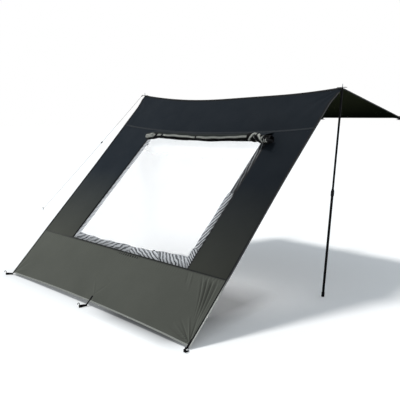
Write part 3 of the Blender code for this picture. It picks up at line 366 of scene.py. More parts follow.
def plug(name, colour):
    """The pole's end: a dark nose with a bright pin above the eyelet."""
    made = Surface(name, colour, 0.4, Specular_IOR_Level=0.08)
    bright = made.ramp(made.part("Z"), EYELET_TOP, EYELET_TOP + 0.002)
    made.paint(made.mix(bright, colour, (0.42, 0.43, 0.44)))
    made.rough(made.mottle(0.32, 0.48, 35, 4))
    made.bump(made.noise(900, 2), 0.0001, 0.4)
    return made.mat


def braid(name, colour):
    """Braided cord: crossing strands, with painted shade in the hollows between them."""
    made = Surface(name, colour, 0.75, Sheen_Weight=0.1)
    strand = made.wave(0.0028, "DIAGONAL") * made.wave(0.0034, "X")
    # Painted shade: darker where the strands sink
    made.paint(made.mix(made.ramp(strand, 0, 0.5), scaled(colour, 0.45), colour))
    made.bump(strand, 0.0006, 0.8)
    return made.mat


# TOP_TONE is the cloth's own colour; LOW_TONE paints light on the wall towards its foot, and across paints
# it lighter to the left
TOP_TONE = (0.0115, 0.0155, 0.0205)
LOW_TONE = (0.062, 0.063, 0.052)
MATS = {
    "upper": cloth("cloth_upper", TOP_TONE, LOW_TONE, across=0.24),
    "lower": cloth("cloth_lower", (0.093, 0.096, 0.082), across=0.08),
    # The roof's underside is painted in shade, darker towards the rear; where it faces up it has TOP_TONE
    "roof": cloth("cloth_roof", (0.016, 0.0185, 0.01), (0.0026, 0.0036, 0.0022), 0.75, 0, gloss=0,
                  painted_light_ramp=("Y", -1.55, -0.45), outside=TOP_TONE),
    "web": cloth("cover_outside", TOP_TONE),
    "cover": rolled_cloth(),
    "strap": tape("strap_black", (0.006, 0.006, 0.007), (0.004, 0.016), (0.02, 0.02, 0.02)),
    "seam_upper": tape("seam_grey", (0.016, 0.019, 0.023), (-0.006, 0.006), (0.06, 0.07, 0.075)),
    "seam_lower": tape("seam_dark", (0.012, 0.013, 0.012), (-0.006, 0.006), (0.05, 0.05, 0.045),
                       lower=(0.06, 0.062, 0.054)),
    "binding": tape("binding_black", (0.005, 0.0055, 0.006), (0.004,), (0.02, 0.021, 0.022)),
    "piping": piping(),
    "hem": tape("hem_pale", (0.28, 0.285, 0.26), (0,), (0.16, 0.16, 0.15)),
    "ridge": tape("ridge_binding", (0.005, 0.006, 0.007), (-0.016, 0.016), (0.03, 0.03, 0.035)),
    "webbing": webbing("webbing_black", (0.006, 0.006, 0.0065)),
    "film": film(),
    "gathered": gathered_film(),
    "pole": hard("pole_black", (0.005, 0.005, 0.0055), 0.5, 700, 0.00006),
    "plastic": hard("nylon_black", (0.012, 0.012, 0.013), 0.5, 1200, 0.0001),
    "rubber": hard("rubber_black", (0.01, 0.01, 0.01), 0.82, 500, 0.0002),
    "plug": plug("pole_end", (0.008, 0.008, 0.009)),
    "peg": hard("peg_dark", (0.008, 0.008, 0.009), 0.5, 800, 0.0001),
    "cord": braid("cord_grey", (0.42, 0.42, 0.4)),
}


# The surfaces, as in the CAD, and their finer folds

def ease(share):
    """0 below 0, 1 above 1 and a smooth rise between them."""
    share = unit(share)
    return share * share * (3 - 2 * share)


def unit(value):
    return np.clip(value, 0, 1)


def bell(x, middle, spread):
    return exp(-((x - middle) / spread) ** 2)


def swell(reach, far, near):
    """0 at a fixed corner, most a little away from it, and dying out further on."""
    return exp(-reach / far) * (1 - exp(-reach / near))


def corner_folds(x, down, half, size, count, far, near):
    """Slack folds that fan out from both upper corners."""
    folds = 0 * x
    for side in (-1, 1):
        across = half - side * x
        fan = sin(count * np.arctan2(across, down + 1e-6))
        folds = folds + size * fan * swell(hypot(across, down), far, near)
    return folds


def to_world(x, slant, height):
    """World places from the wall's own frame, with the slant measured straight down the slope."""
    y, z = (RIDGE[i] + slant * DOWN[i] + height * OUT[i] for i in (1, 2))
    return np.stack(np.broadcast_arrays(x, y, z), -1)


def crown(x):
    return 1 - np.minimum(1, np.abs(x) / (HALF_RIDGE - RIDGE_LEVEL)) ** 2


def ridge_lift(x):
    """How much less the ridge sags right of its middle, where the right pole holds it."""
    return 0.025 * bell(x, 0.38, 0.6) * unit(1 - (x / HALF_RIDGE) ** 6)


def row_slant(x, row):
    """How far down the slope a row runs at x: below the sagging ridge, above the arched hem."""
    share = row / SLANT
    slant = row + crown(x) * (RIDGE_SAG * (1 - share) - HEM_ARCH * share)
    return slant - ridge_lift(x) * (1 - ease(row / 0.45))


def side_cut(x, row):
    """Where a place lies across, because the side edges are cut in a slight inward curve."""
    curve = 0.036 * ease(row / 0.22) * (1 - ease((row - 0.9) / 1.8))
    return x - np.sign(x) * curve * ease((np.abs(x) - 1.04) / 0.44)


def panel_depth(row):
    """0 down to the bottom panel's seam tape, 1 at the hem."""
    top = LOWER_SEAM + SEAM_TAPE / 2
    return unit((row - top) / (SLANT - top))


def fan_height(x, row):
    """The bottom panel's folds that fan out from the pegs."""
    x = np.clip(x, -INSIDE_BINDING, INSIDE_BINDING)
    height = 0 * x
    for peg, size in ((-HALF_RIDGE, 0.007), (HALF_RIDGE, 0.007), (0, 0.004)):
        across, down = x - peg, SLANT - row
        fan = np.arctan2(across, down + 0.16)
        height = height + size * swell(hypot(across, down), PEG_FAN, 0.08) * sin(4 * fan)
    return height * ease(panel_depth(row))


def pleat_height(station, row):
    """The slack under the seam at the right, with sharper ridges than the CAD's."""
    middle, spread = (PLEATS_FROM + PLEATS_TO) / 2, (PLEATS_TO - PLEATS_FROM) / 2
    near = np.maximum(0, 1 - ((station - middle) / spread) ** 2)
    depth = panel_depth(row)
    lasting = ease(8 * depth) * (1 - ease(2 * depth - 0.4))
    phase = math.tau * (station - PLEATS_FROM) / PLEAT_PITCH
    sharper = 0.0016 * sin(2 * phase + 0.7) + 0.0008 * sin(3 * phase + 2 * depth)
    return near * lasting * (PLEAT * sin(phase) + sharper)


def gathered(station, row):
    """Where a station lies across: under the seam the cloth runs together towards the right peg."""
    near = ease((station - PEG_FAN) / (PLEATS_FROM - PEG_FAN))
    pull = PLEAT_GATHER * near * (1 - (1 - panel_depth(row)) ** 1.8)
    return station + pull * np.maximum(0, PLEATS_TO - station)


CREASES = (
    # x, row, run along x, run down the rows, half width, depth
    (1.455, 2.7, -0.25, -0.02, 0.008, 0.004),
    (1.455, 2.695, -0.29, -0.06, 0.008, -0.0045),
    (1.455, 2.69, -0.26, -0.1, 0.008, 0.005),
    (1.455, 2.688, -0.22, -0.15, 0.008, -0.0045),
    (1.458, 2.684, -0.15, -0.19, 0.009, 0.0045),
    (1.46, 2.68, -0.07, -0.23, 0.009, -0.0035),
    (1.462, 2.67, -0.02, -0.24, 0.008, 0.003),
    (1.08, 2.135, 0.06, 0.16, 0.01, 0.0028),
    (1.03, 2.135, 0.05, 0.13, 0.009, -0.0024),
    (-1.455, 2.695, 0.2, -0.07, 0.008, 0.0028),
    (-1.455, 2.69, 0.15, -0.16, 0.008, -0.0028),
    (-1.455, 2.68, 0.08, -0.21, 0.009, 0.003),
    (0.055, 2.64, -0.12, -0.15, 0.009, 0.0018),
    (0.055, 2.64, 0.11, -0.16, 0.009, -0.0018),
)


def fine_folds(x, row):
    """Creases, seam puckers and a slight billow; the bindings and the loops' tails stay flat."""
    height = 0 * x
    for start_x, start_row, run_x, run_row, width, depth in CREASES:
        length = math.hypot(run_x, run_row)
        across, down = x - start_x, row - start_row
        share = unit((across * run_x + down * run_row) / length ** 2)
        off = (down * run_x - across * run_row) / length
        body = sin(math.pi * share ** 0.6) ** 0.8
        height = height + depth * bell(off, 0, width * (0.55 + 0.8 * share)) * body
    below = np.clip(row - LOWER_SEAM - 0.004, 0, None)
    pucker = sin(math.tau * (x + 0.006 * sin(17 * x)) / 0.034) * sin(5 * x + 1) ** 2
    height = height + 0.0016 * pucker * exp(-below / 0.045) * unit(below / 0.012)
    billow = sin(2.1 * x + 0.6) * sin(2.6 * row + 0.4) + 0.5 * sin(4.7 * x - 1.1 * row)
    height = height + 0.0022 * billow * ease(row / 0.4) * ease((SLANT - row) / 0.3)
    height = height + corner_folds(x, row, HALF_RIDGE, 0.0022, 13, 0.3, 0.06)
    flat = unit((INSIDE_BINDING - np.abs(x)) / 0.02)
    beside, above = np.maximum(0, np.abs(x - 0.055) - 0.012), np.maximum(0, 2.65 - row)
    tail = unit(hypot(beside, above) / 0.03)
    hem = unit((SLANT - row) / 0.012)
    return height * flat * tail * (0.3 + 0.7 * hem)


def wall_place(x, row, height):
    lift = fan_height(x, row) + fine_folds(x, row) + height
    return to_world(side_cut(x, row), row_slant(x, row), lift)


def full_width(station, row, height):
    clip = np.clip(CORNER_CLIP - row, 0, None) / HALF_RIDGE
    return wall_place(gathered(station, row) * (1 - clip), row, pleat_height(station, row) + height)


def window_left(row):
    share = (row - WINDOW_HEAD) / (LOWER_SEAM - WINDOW_HEAD)
    return WINDOW_LEFT_TOP + (WINDOW_LEFT_FOOT - WINDOW_LEFT_TOP) * np.clip(share, 0, None)


def across_window(margin):
    """Gives x from a share of the window's width, with a margin on both sides."""
    def where(share, row):
        start, stop = window_left(row) - margin, WINDOW_RIGHT + margin
        return start + (stop - start) * share

    return where


def ridge_point(x):
    return to_world(x, RIDGE_SAG * crown(x) - ridge_lift(x), 0)


def roof_half(v):
    """Half the roof's width, v from 0 at the ridge to 1 at the rear hem."""
    return HALF_RIDGE + (HALF_HEM - HALF_RIDGE) * v


def roof_middle(s, v):
    """The middle of the roof's cloth, s from -1 at the left edge to 1 at the right."""
    front = ridge_point(s * HALF_RIDGE)
    scallop = 0.012 * sin(math.tau * np.abs(s)) ** 2 * v * v
    belly = ROOF_BELLY * (1 - s * s) * 4 * v * (1 - v)
    y = front[..., 1] + (RIDGE.y + REAR_HEM_REACH - scallop - front[..., 1]) * v
    z = front[..., 2] + (REAR_HEM_RISE - front[..., 2]) * v - belly
    return np.stack(np.broadcast_arrays(s * roof_half(v), y, z), -1)


def roof_place(x, v, height):
    """Roof places with slack folds from the peaks towards the rear fixings."""
    clip = np.clip(CORNER_CLIP - v * REAR_HEM_REACH, 0, None) / roof_half(v)
    s = x / HALF_RIDGE * (1 - clip)
    step = 0.01
    across = roof_middle(s + step, v) - roof_middle(s - step, v)
    along = roof_middle(s, v + step) - roof_middle(s, v - step)
    normal = np.cross(across, along)
    normal /= np.linalg.norm(normal, axis=-1, keepdims=True)
    slack = corner_folds(s, v, 1, 0.004, 11, 0.35, 0.08)
    edge = unit((1 - np.abs(s)) / 0.03)
    ends = unit(np.minimum(v / 0.05, (0.96 - v) / 0.06))
    wave = 0.0025 * sin(9 * s + 1.3) * sin(7 * v)
    lift = (slack + wave) * edge * ends + height
    return roof_middle(s, v) + normal * lift[..., None]


# Meshes

def spaced(start, stop, step):
    """Even stations about step apart, both ends included."""
    return np.linspace(start, stop, max(2, int(round((stop - start) / step)) + 1))


def placed(name, data):
    obj = bpy.data.objects.new(name, data)
    bpy.context.scene.collection.objects.link(obj)
    return obj


def mesh_object(name, verts, faces):
    mesh = bpy.data.meshes.new(name)
    mesh.from_pydata([tuple(v) for v in verts], [], [tuple(f) for f in faces])
    mesh.update()
    return placed(name, mesh)


def closed_mesh(name, verts, faces, flat, surface):
    """A smooth closed piece; flat has the UV place of every corner of every face, in metres."""
    made = mesh_object(name, verts, faces)
    made.data.uv_layers.new(name="cut").data.foreach_set("uv", np.asarray(flat, np.float32).ravel())
    bm = bmesh.new()
    bm.from_mesh(made.data)
    bmesh.ops.recalc_face_normals(bm, faces=bm.faces)
    bm.to_mesh(made.data)
    bm.free()
    made.data.materials.append(surface)
    made.data.shade_smooth()
    made.data.set_sharp_from_angle(angle=SHARP_EDGE)
    return made


def slab(name, point, us, vs, low, high, surface, uv=None):
    """A closed sheet over a grid; its UV map, in metres, is (u, v) unless uv gives another."""
    grid_u, grid_v = np.meshgrid(np.asarray(us, float), np.asarray(vs, float))
    layers = [point(grid_u, grid_v, height + 0 * grid_u).reshape(-1, 3) for height in (low, high)]
    size = grid_u.size
    index = np.arange(size).reshape(grid_u.shape)
    quads = np.stack([index[:-1, :-1], index[:-1, 1:], index[1:, 1:], index[1:, :-1]], -1).reshape(-1, 4)
    border = np.concatenate([index[0], index[1:-1, -1], index[-1, ::-1], index[1:-1, 0][::-1]])
    after = np.roll(border, -1)
    rim = np.stack([border, border + size, after + size, after], -1)
    faces = np.concatenate([quads[:, ::-1], quads + size, rim])
    flat = uv(grid_u, grid_v) if uv else (grid_u, grid_v)
    pairs = np.stack([np.tile(np.ravel(part), 2) for part in flat], -1)
    return closed_mesh(name, np.concatenate(layers), faces, pairs[faces.ravel()], surface)


def skin(name, rings, surface, closed=False):
    """A closed skin over rings of places; its UV map is (along, around) in metres. closed joins the last
    ring to the first."""
    rings = np.asarray(rings, float)
    count, around = rings.shape[:2]
    along, girth = (
        np.append(0, np.cumsum(np.linalg.norm(np.diff(line, axis=0, append=line[:1]), axis=1)))
        for line in (rings.mean(axis=1), rings[count // 2])
    )
    i, j = np.mgrid[:count if closed else count - 1, :around].reshape(2, -1)
    i, j = np.stack([i, i, i + 1, i + 1], -1), np.stack([j, j + 1, j + 1, j], -1)
    faces = (i % count * around + j % around).tolist()
    flat = np.stack([along[i], girth[j]], -1).reshape(-1, 2).tolist()
    if not closed:
        for start in (0, (count - 1) * around):
            faces.append(range(start, start + around))
            flat += [(0, 0)] * around
    return closed_mesh(name, rings.reshape(-1, 3), faces, flat, surface)


def ribbon(name, middles, across, outward, width, thickness, closed=False):
    """A strap: at each place its flat section spans width along across and thickness along outward."""
    across = across / np.linalg.norm(across, axis=1, keepdims=True) * width / 2
    outward = outward / np.linalg.norm(outward, axis=1, keepdims=True) * thickness / 2
    section = [0.96 * across + outward, 1.04 * across, 0.96 * across - outward]
    section += [-0.96 * across - outward, -1.04 * across, -0.96 * across + outward]
    return skin(name, np.stack([middles + corner for corner in section], axis=1), MATS["strap"], closed)


def joined(name, parts):
    """One mesh object from several."""
    bpy.ops.object.select_all(action="DESELECT")
    for part in parts:
        part.select_set(True)
    bpy.context.view_layer.objects.active = parts[0]
    bpy.ops.object.join()
    parts[0].name = parts[0].data.name = name
    return parts[0]


def mark(piece, name, values):
    """An attribute on a slab, the same on both its sides."""
    attribute = piece.data.attributes.new(name, "FLOAT", "POINT")
    attribute.data.foreach_set("value", np.tile(values.ravel(), 2).astype(np.float32))


def dress(piece, node, body=None):
    """The piece stands for a node of the CAD, which it hides; it rides on a body if one is given."""
    if body:
        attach(piece, body)
    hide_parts(node)
    return piece


# Camera, light and floor

LENS = 55.03
CAMERA = (4.8126, -6.4633, 0.0408)
DIP, HEADING = 0.136, 2.4057
SUNWARD = Vector((-0.2, -0.22, 1))
SKY_LIGHT = (0.8, 0.91, 1, 1)
SHOWN_WHITE = (1, 1, 1, 1)
FLOOR_WHITE = (0.93, 0.93, 0.93)
FLOOR_SIZE = 90


def aimed(obj, direction):
    obj.rotation_mode = "QUATERNION"
    obj.rotation_quaternion = direction.to_track_quat("-Z", "Y")


def build_camera():
    data = bpy.data.cameras.new("camera")
    data.sensor_width = 36
    data.lens = LENS
    data.clip_end = 400
    camera = placed("camera", data)
    camera.location = CAMERA
    level = math.cos(DIP)
    aimed(camera, Vector((level * math.cos(HEADING), level * math.sin(HEADING), -math.sin(DIP))))
    bpy.context.scene.camera = camera


def build_sun():
    """A weak and soft key light."""
    data = bpy.data.lights.new("key", "SUN")
    data.energy = 1.95
    data.angle = math.radians(11)
    data.color = (1, 0.985, 0.965)
    aimed(placed("key", data), -SUNWARD)


def build_world():
    """Soft light from all round, and a background that shows white."""
    world = bpy.data.worlds.new("studio")
    bpy.context.scene.world = world
    world.use_nodes = True
    nodes, links = world.node_tree.nodes, world.node_tree.links
    nodes.clear()
    kinds = ("OutputWorld", "MixShader", "LightPath")
    out, both, path = (nodes.new("ShaderNode" + kind) for kind in kinds)
    seen = path.outputs["Is Camera Ray"]
    for ray in ("Is Glossy Ray", "Is Transmission Ray"):
        wider = nodes.new("ShaderNodeMath")
        wider.operation = "MAXIMUM"
        links.new(seen, wider.inputs[0])
        links.new(path.outputs[ray], wider.inputs[1])
        seen = wider.outputs[0]
    links.new(seen, both.inputs[0])
    for index, colour, strength in ((1, SKY_LIGHT, 0.46), (2, SHOWN_WHITE, 1)):
        light = nodes.new("ShaderNodeBackground")
        light.inputs["Color"].default_value = colour
        light.inputs["Strength"].default_value = strength
        links.new(light.outputs[0], both.inputs[index])
    links.new(both.outputs[0], out.inputs[0])


def build_floor():
    """A floor that shows white, with a painted shadow under the wall's right part and in a strip along its
    hem.
    """
    corners = [(x * FLOOR_SIZE, y * FLOOR_SIZE, 0) for x, y in ((-1, -1), (1, -1), (1, 1), (-1, 1))]
    floor = mesh_object("floor", corners, [(0, 1, 2, 3)])
    floor.location.z = GROUND - 0.0005
    made = Surface("floor_white", FLOOR_WHITE, 0.9, Specular_IOR_Level=0, Emission_Color=SHOWN_WHITE)
    east, north = made.part("X"), made.part("Y")
    # Painted shadow on the floor: under the wall's right part, and in a strip along the hem; it dims the
    # glow too
    under = made.ramp(north, -1.8, -2.45) * made.ramp(north * 0.2 + east, 0.78, 0.48)
    under = under * (made.ramp(north, -3.7, -3.5) * made.ramp(east, 0.1, 0.5))
    front = made.ramp(north, -3.76, -3.52) * made.ramp(north, -3.3, -3.5)
    front = front * (made.ramp(east, 1.5, 1.25) * made.ramp(east, -1.85, -1.45))
    shade = (under * -0.6 + 1) * (front * -0.22 + 1)
    made.paint(made.times(FLOOR_WHITE, shade))
    behind_film = made.add("LightPath", "Is Transmission Ray") * 0.43
    glow = made.add("LightPath", "Is Camera Ray") * 0.17 + behind_film
    made.feed(made.inputs["Emission Strength"], glow * shade)
    floor.data.materials.append(made.mat)


# Guy line

GUY_END = (-5.55, -1.04, -1.672)
GUY_SLACK = 0.01
GUY_POINTS = 31
KNOT_LENGTH = 0.022
KNOT_REACH = 0.016
SLOT_EDGE = 0.012
EYE_HEIGHT = 0.0066
PEG_RADIUS = 0.0035
TAB_END = HALF_RIDGE - 0.0035 + 0.046
TAB_LENGTH = 0.0875
TAB_MIDDLE = CLOTH / 2 + FIT + 0.00175


def guy_route():
    tie = RIDGE + Vector((-TAB_END - KNOT_REACH + 0.0035, 0, TAB_MIDDLE))
    stop = Vector(GUY_END)
    start = tie + (stop - tie).normalized() * (KNOT_LENGTH + FIT)
    sag = Vector((0, 0, -4 * GUY_SLACK))
    shares = [i / (GUY_POINTS - 1) for i in range(GUY_POINTS)]
    return tie, [start.lerp(stop, s) + sag * s * (1 - s) for s in shares]


def cord_curve(name, points, radius, resolution=2):
    data = bpy.data.curves.new(name, "CURVE")
    data.dimensions = "3D"
    data.bevel_depth = radius
    data.bevel_resolution = resolution
    data.use_fill_caps = True
    spline = data.splines.new("POLY")
    spline.points.add(len(points) - 1)
    for point, place in zip(spline.points, points):
        point.co = (*place, 1)
    data.materials.append(MATS["cord"])
    return placed(name, data)


def coil(centre, along, radius, start, stop, turns=3.4):
    """Points of a helix round an axis, from start to stop along it."""
    along = along.normalized()
    side = along.cross(Vector((0, 0, 1))).normalized()
    up = side.cross(along)
    points = []
    for i in range(int(turns * 14) + 1):
        share = i / (turns * 14)
        angle = math.tau * turns * share
        offset = side * math.cos(angle) * radius + up * math.sin(angle) * radius
        points.append(centre + along * (start + (stop - start) * share) + offset)
    return points


def build_knots(tie, route):
    """The line's eye through the tab's slot with its wound knot, and its loop round the peg."""
    along = (route[1] - route[0]).normalized()
    middle = (KNOT_REACH - SLOT_EDGE) / 2
    long, tall = (KNOT_REACH + SLOT_EDGE) / 2, EYE_HEIGHT
    centre = RIDGE + Vector((-TAB_END - middle, 0, TAB_MIDDLE))
    eye = [centre + Vector((long * math.cos(a), 0, tall * math.sin(a)))
           for a in np.linspace(2.75, -2.75, 25)]
    points = [tie + along * (KNOT_LENGTH + 0.0002), tie + along * 0.012, tie + along * 0.004]
    points += eye + coil(tie, along, 0.0042, 0.004, 0.0185)
    points.append(points[-1] + along * 0.012 + Vector((0, -0.004, -0.01)))
    knot = dress(cord_curve("guy_tied", points, 0.0019), "guy_knot", "canopy")

    end, pull = route[-1], (route[-1] - route[-2]).normalized()
    level = Vector((pull.x, pull.y, 0)).normalized()
    across = Vector((-level.y, level.x, 0))
    reach = PEG_RADIUS + 0.0025
    stand = end + level * reach
    ring = [stand + level * reach * math.cos(a) + across * reach * math.sin(a)
            for a in np.linspace(3.4, 9.2, 22)]
    wound = coil(end - pull * 0.034, pull, 0.004, 0, 0.022)
    loop = cord_curve("guy_loop", ring + [end - pull * 0.008] + wound[::-1], 0.0018)
    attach(loop, "canopy")
    return knot, loop


def build_guy():
    tie, route = guy_route()
    line = dress(cord_curve("guy_rope", route, 0.002, 3), "guy_line", "canopy")
    pieces = build_knots(tie, route)
    length = sum((b - a).length for a, b in zip(route, route[1:]))
    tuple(route[0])


# Wall and window

BODY = (-CLOTH / 2, CLOTH / 2)
PROUD = (CLOTH / 2 + FIT, CLOTH / 2 + FIT + TAPE)
# How far two rows of a panel lie from its seam: its own edge, and just past the edge of the tape
BESIDE_SEAM = np.array([0.0005, 0.0105])


def across_ridge(obj):
    """Cloth that crosses the ridge hinge between the roof's body and the wall's; its place is baked into
    its mesh.
    """
    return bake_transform(obj)


def panel(name, point, us, rows, look="upper", uv=None, strength=0.75):
    """A cloth panel, with an attribute of how far each place leans to the left, by which its folds get
    painted light where they lean to the left and painted shade where they lean to the right."""
    piece = slab(name, point, us, rows, *BODY, MATS[look], uv)
    places = np.empty(len(piece.data.vertices) * 3, np.float32)
    piece.data.vertices.foreach_get("co", places)
    places = places.reshape(2, len(rows), len(us), 3)[1]
    height = (places - np.array(RIDGE)) @ np.array(OUT)
    lean = np.gradient(height, axis=1) / np.maximum(np.gradient(places[..., 0], axis=1), 1e-4)
    # Painted light and shade on the folds, as if lit from the left
    mark(piece, "fold", np.clip(strength * lean, -0.45, 0.6))
    return piece


def part_panel(side, where, steps, rows):
    """A panel beside or above the window; where gives x from a share of its width."""
    def point(share, row, height):
        return wall_place(where(share, row), row, height)

    piece = panel(f"wall_cloth_{side}", point, np.linspace(0, 1, steps + 1), rows,
                  uv=lambda share, row: (where(share, row), row))
    return dress(piece, f"wall_{side}_panel", "wall")


def strip(name, node, stations, rows, look, middle):
    """A tape sewn on the outer side, with its UV map measured from its middle row."""
    piece = slab(name, full_width, stations, rows, *PROUD, MATS[look], lambda x, row: (x, row - middle))
    return dress(piece, node, "wall")


def build_wall():
    stations = np.union1d(spaced(-HALF_RIDGE, HALF_RIDGE, 0.0075), [-INSIDE_BINDING, INSIDE_BINDING])
    short = np.unique(np.clip(stations, -INSIDE_BINDING + FIT, INSIDE_BINDING - FIT))
    under_upper, over_lower = UPPER_SEAM + BESIDE_SEAM, LOWER_SEAM - BESIDE_SEAM[::-1]

    rows = np.union1d([RIDGE_SEAM, 0.012, 0.021, CORNER_CLIP, UPPER_SEAM - BESIDE_SEAM[0]],
                      spaced(0.042, UPPER_SEAM - BESIDE_SEAM[1], 0.0115))
    top = panel("wall_cloth_top", full_width, stations, rows)
    dress(across_ridge(top), "wall_top_panel")

    def left_x(share, row):
        return -HALF_RIDGE + (window_left(row) + HALF_RIDGE) * share

    def right_x(share, row):
        return WINDOW_RIGHT + (HALF_RIDGE - WINDOW_RIGHT) * share

    rows = np.concatenate([under_upper, spaced(0.526, 2.094, 0.016), over_lower])
    left, right = part_panel("left", left_x, 56, rows), part_panel("right", right_x, 46, rows)
    rows = np.concatenate([under_upper, spaced(0.522, WINDOW_HEAD, 0.012)])
    header = part_panel("header", across_window(-0.001), 150, rows)

    rows = np.concatenate([LOWER_SEAM + BESIDE_SEAM, spaced(2.142, SLANT - 0.026, 0.0105),
                           [SLANT - HEM_TAPE, SLANT - HEM_TAPE / 2, SLANT]])
    bottom = panel("wall_cloth_bottom", full_width, stations, rows, "lower", strength=1.2)
    dress(bottom, "wall_bottom_panel", "wall")

    half, slit = SEAM_TAPE / 2, BESIDE_SEAM[0]
    upper, lower = (
        strip(f"seam_strip_{name}", f"seam_tape_{name}", short,
              (row - half, row - slit, row + slit, row + half), f"seam_{name}", row)
        for name, row in (("upper", UPPER_SEAM), ("lower", LOWER_SEAM))
    )
    middle = SLANT - HEM_TAPE / 2
    hem = strip("hem_strip", "hem_tape", short, (SLANT - HEM_TAPE, middle, SLANT), "hem", middle)
    bindings = build_bindings()
    loops = build_edge_loops()


PIPING_RADIUS = 0.0029


def build_bindings():
    """A tape folded round each side edge, with its line of stitches, and the piping beside it, pale near
    the ground with a painted highlight.
    """
    rows = np.union1d(spaced(0.055, SLANT, 0.0165), [SLANT - HEM_TAPE])
    inner, outer = PROUD
    edge = HALF_RIDGE + FIT
    fold = edge - 0.007
    section = [(INSIDE_BINDING, inner), (edge, inner), (edge, -inner), (INSIDE_BINDING, -inner)]
    section += [(INSIDE_BINDING, -outer), (fold, -outer)]
    section += [(edge + 0.0012 + PIPING_RADIUS * math.cos(a), PIPING_RADIUS * math.sin(a))
                for a in np.radians(np.linspace(-125, 125, 9))]
    section += [(fold, outer), (INSIDE_BINDING, outer)]
    bead = range(5, 15)
    bindings = []
    for side, name in ((-1, "left"), (1, "right")):
        lines = []
        for x, height in section:
            places = wall_place(np.full_like(rows, side * min(x, HALF_RIDGE)), rows, height)
            places[:, 0] += side * max(0, x - HALF_RIDGE)
            lines.append(places)
        binding = skin(f"binding_{name}", np.stack(lines, axis=1), MATS["binding"])
        binding.data.materials.append(MATS["piping"])
        for face in binding.data.polygons[:(len(rows) - 1) * len(section)]:
            face.material_index = int(face.index % len(section) in bead)
        bindings.append(dress(across_ridge(binding), f"edge_binding_{name}"))
    return bindings


def build_edge_loops():
    """Small webbing loops under the side edges, just below the peaks."""
    loops = []
    turns = np.concatenate([[-2.7], np.radians(np.linspace(-100, 100, 15)), [2.7]])
    row = 0.095 + np.where(np.abs(turns) > 2, 0.001, 0.025 + 0.007 * cos(turns))
    for side, name in ((-1, "left"), (1, "right")):
        x = side * (HALF_RIDGE - BINDING_WIDTH / 2 + 0.004) + side * 0.0065 * sin(turns)
        middles = wall_place(x, row, -CLOTH / 2 - TAPE - 0.0065)
        across = np.tile(np.array(OUT), (len(x), 1))
        outward = np.cross(across, np.gradient(middles, axis=0))
        loop = ribbon(f"edge_loop_{name}_webbing", middles, across, outward, 0.01, 0.0014)
        loops.append(dress(loop, f"edge_loop_{name}", "canopy"))
    return loops


def film_margin(x, row):
    """The marks of the film's creased margin at each place, and how deep it is creased there. The marks
    are how strongly it gathers, its phase, tone, painted shadow at the seam and lift towards pale."""
    left, right = x - window_left(row), WINDOW_RIGHT - x
    foot = LOWER_SEAM - row
    wander = 0.005 * sin(9 * x + 4 * row) + 0.004 * sin(23 * x + 1) + 0.004 * sin(15 * row)
    deep = 0.083 + 0.032 * ease(x + 0.1) + wander
    # Where the creases change direction, as x along the foot and as row down the right side
    one, two = x > 0.1 + 0.6 * foot, x > 0.6 - 0.8 * foot
    high, low = row < 1.27, row > 1.9
    away = -10
    bands = (
        # distance, reach, phase, tone, lift, width of the painted shadow at the seam
        (left, 0.074 + 0.6 * wander, (row + 1.3 * left) / 0.07, 0.72, 0.55, 0.016),
        (np.where(high, right, away), 0.072, (right + 0.17 * row) / 0.03, 0.52, -0.34, 0.016),
        (np.where(high | low, away, right), 0.08 + wander, (right - 0.5 * row) / 0.034, 0.84, 0.02, 0.016),
        (np.where(low, right, away), 0.09 + wander, (right + 1.5 * row) / 0.04, 0.9, -0.05, 0.016),
        (np.where(one, away, foot), deep, (x - 1.4 * foot) / 0.088, 0.62, 0.26, 0.006),
        (np.where(one & ~two, foot, away), deep, (x + 2.2 * foot) / 0.072, 0.9, 0.1, 0.006),
        (np.where(two, foot, away), deep, (x + 1.1 * foot) / 0.05, 0.78, 0.1, 0.006),
    )
    none = 0 * x
    marks = {"gather": none, "phase": none, "tone": none + 0.9, "sewn": none, "lift": none}
    best = none - 1
    for distance, reach, turns, tone, lift, seam in bands:
        share = (1 - ease((distance - reach) / 0.022 + 0.5)) * (distance > -1)
        strength = share - np.abs(np.clip(distance, None, 5)) * 4 + 0.001
        better = strength > best
        best = np.where(better, strength, best)
        for key, value in (("phase", math.tau * turns), ("tone", tone), ("lift", lift)):
            marks[key] = np.where(better, value, marks[key])
        marks["gather"] = np.maximum(marks["gather"], share)
        # Painted shadow: black along the seam, where the film lies recessed
        sewn = (1 - ease((distance - seam) / 0.009)) * (distance > -1)
        marks["sewn"] = np.maximum(marks["sewn"], sewn)
    nearest = np.minimum(np.minimum(left, right), foot)
    # Painted shade towards the seam: the creased band darkens towards the cloth's edge, only a little at
    # the left
    darker = np.where(left < nearest + 0.01, 0.1, 0.45) * (1 - ease(nearest / 0.07))
    marks["tone"] = marks["tone"] * (1 - darker)
    inside = np.clip(nearest, 0, None)
    fall = exp(-inside / 0.055) * unit(inside / 0.01) * marks["gather"]
    return marks, fall * (0.5 + 0.32 * sin(marks["phase"]) + 0.18 * sin(2.3 * marks["phase"]))


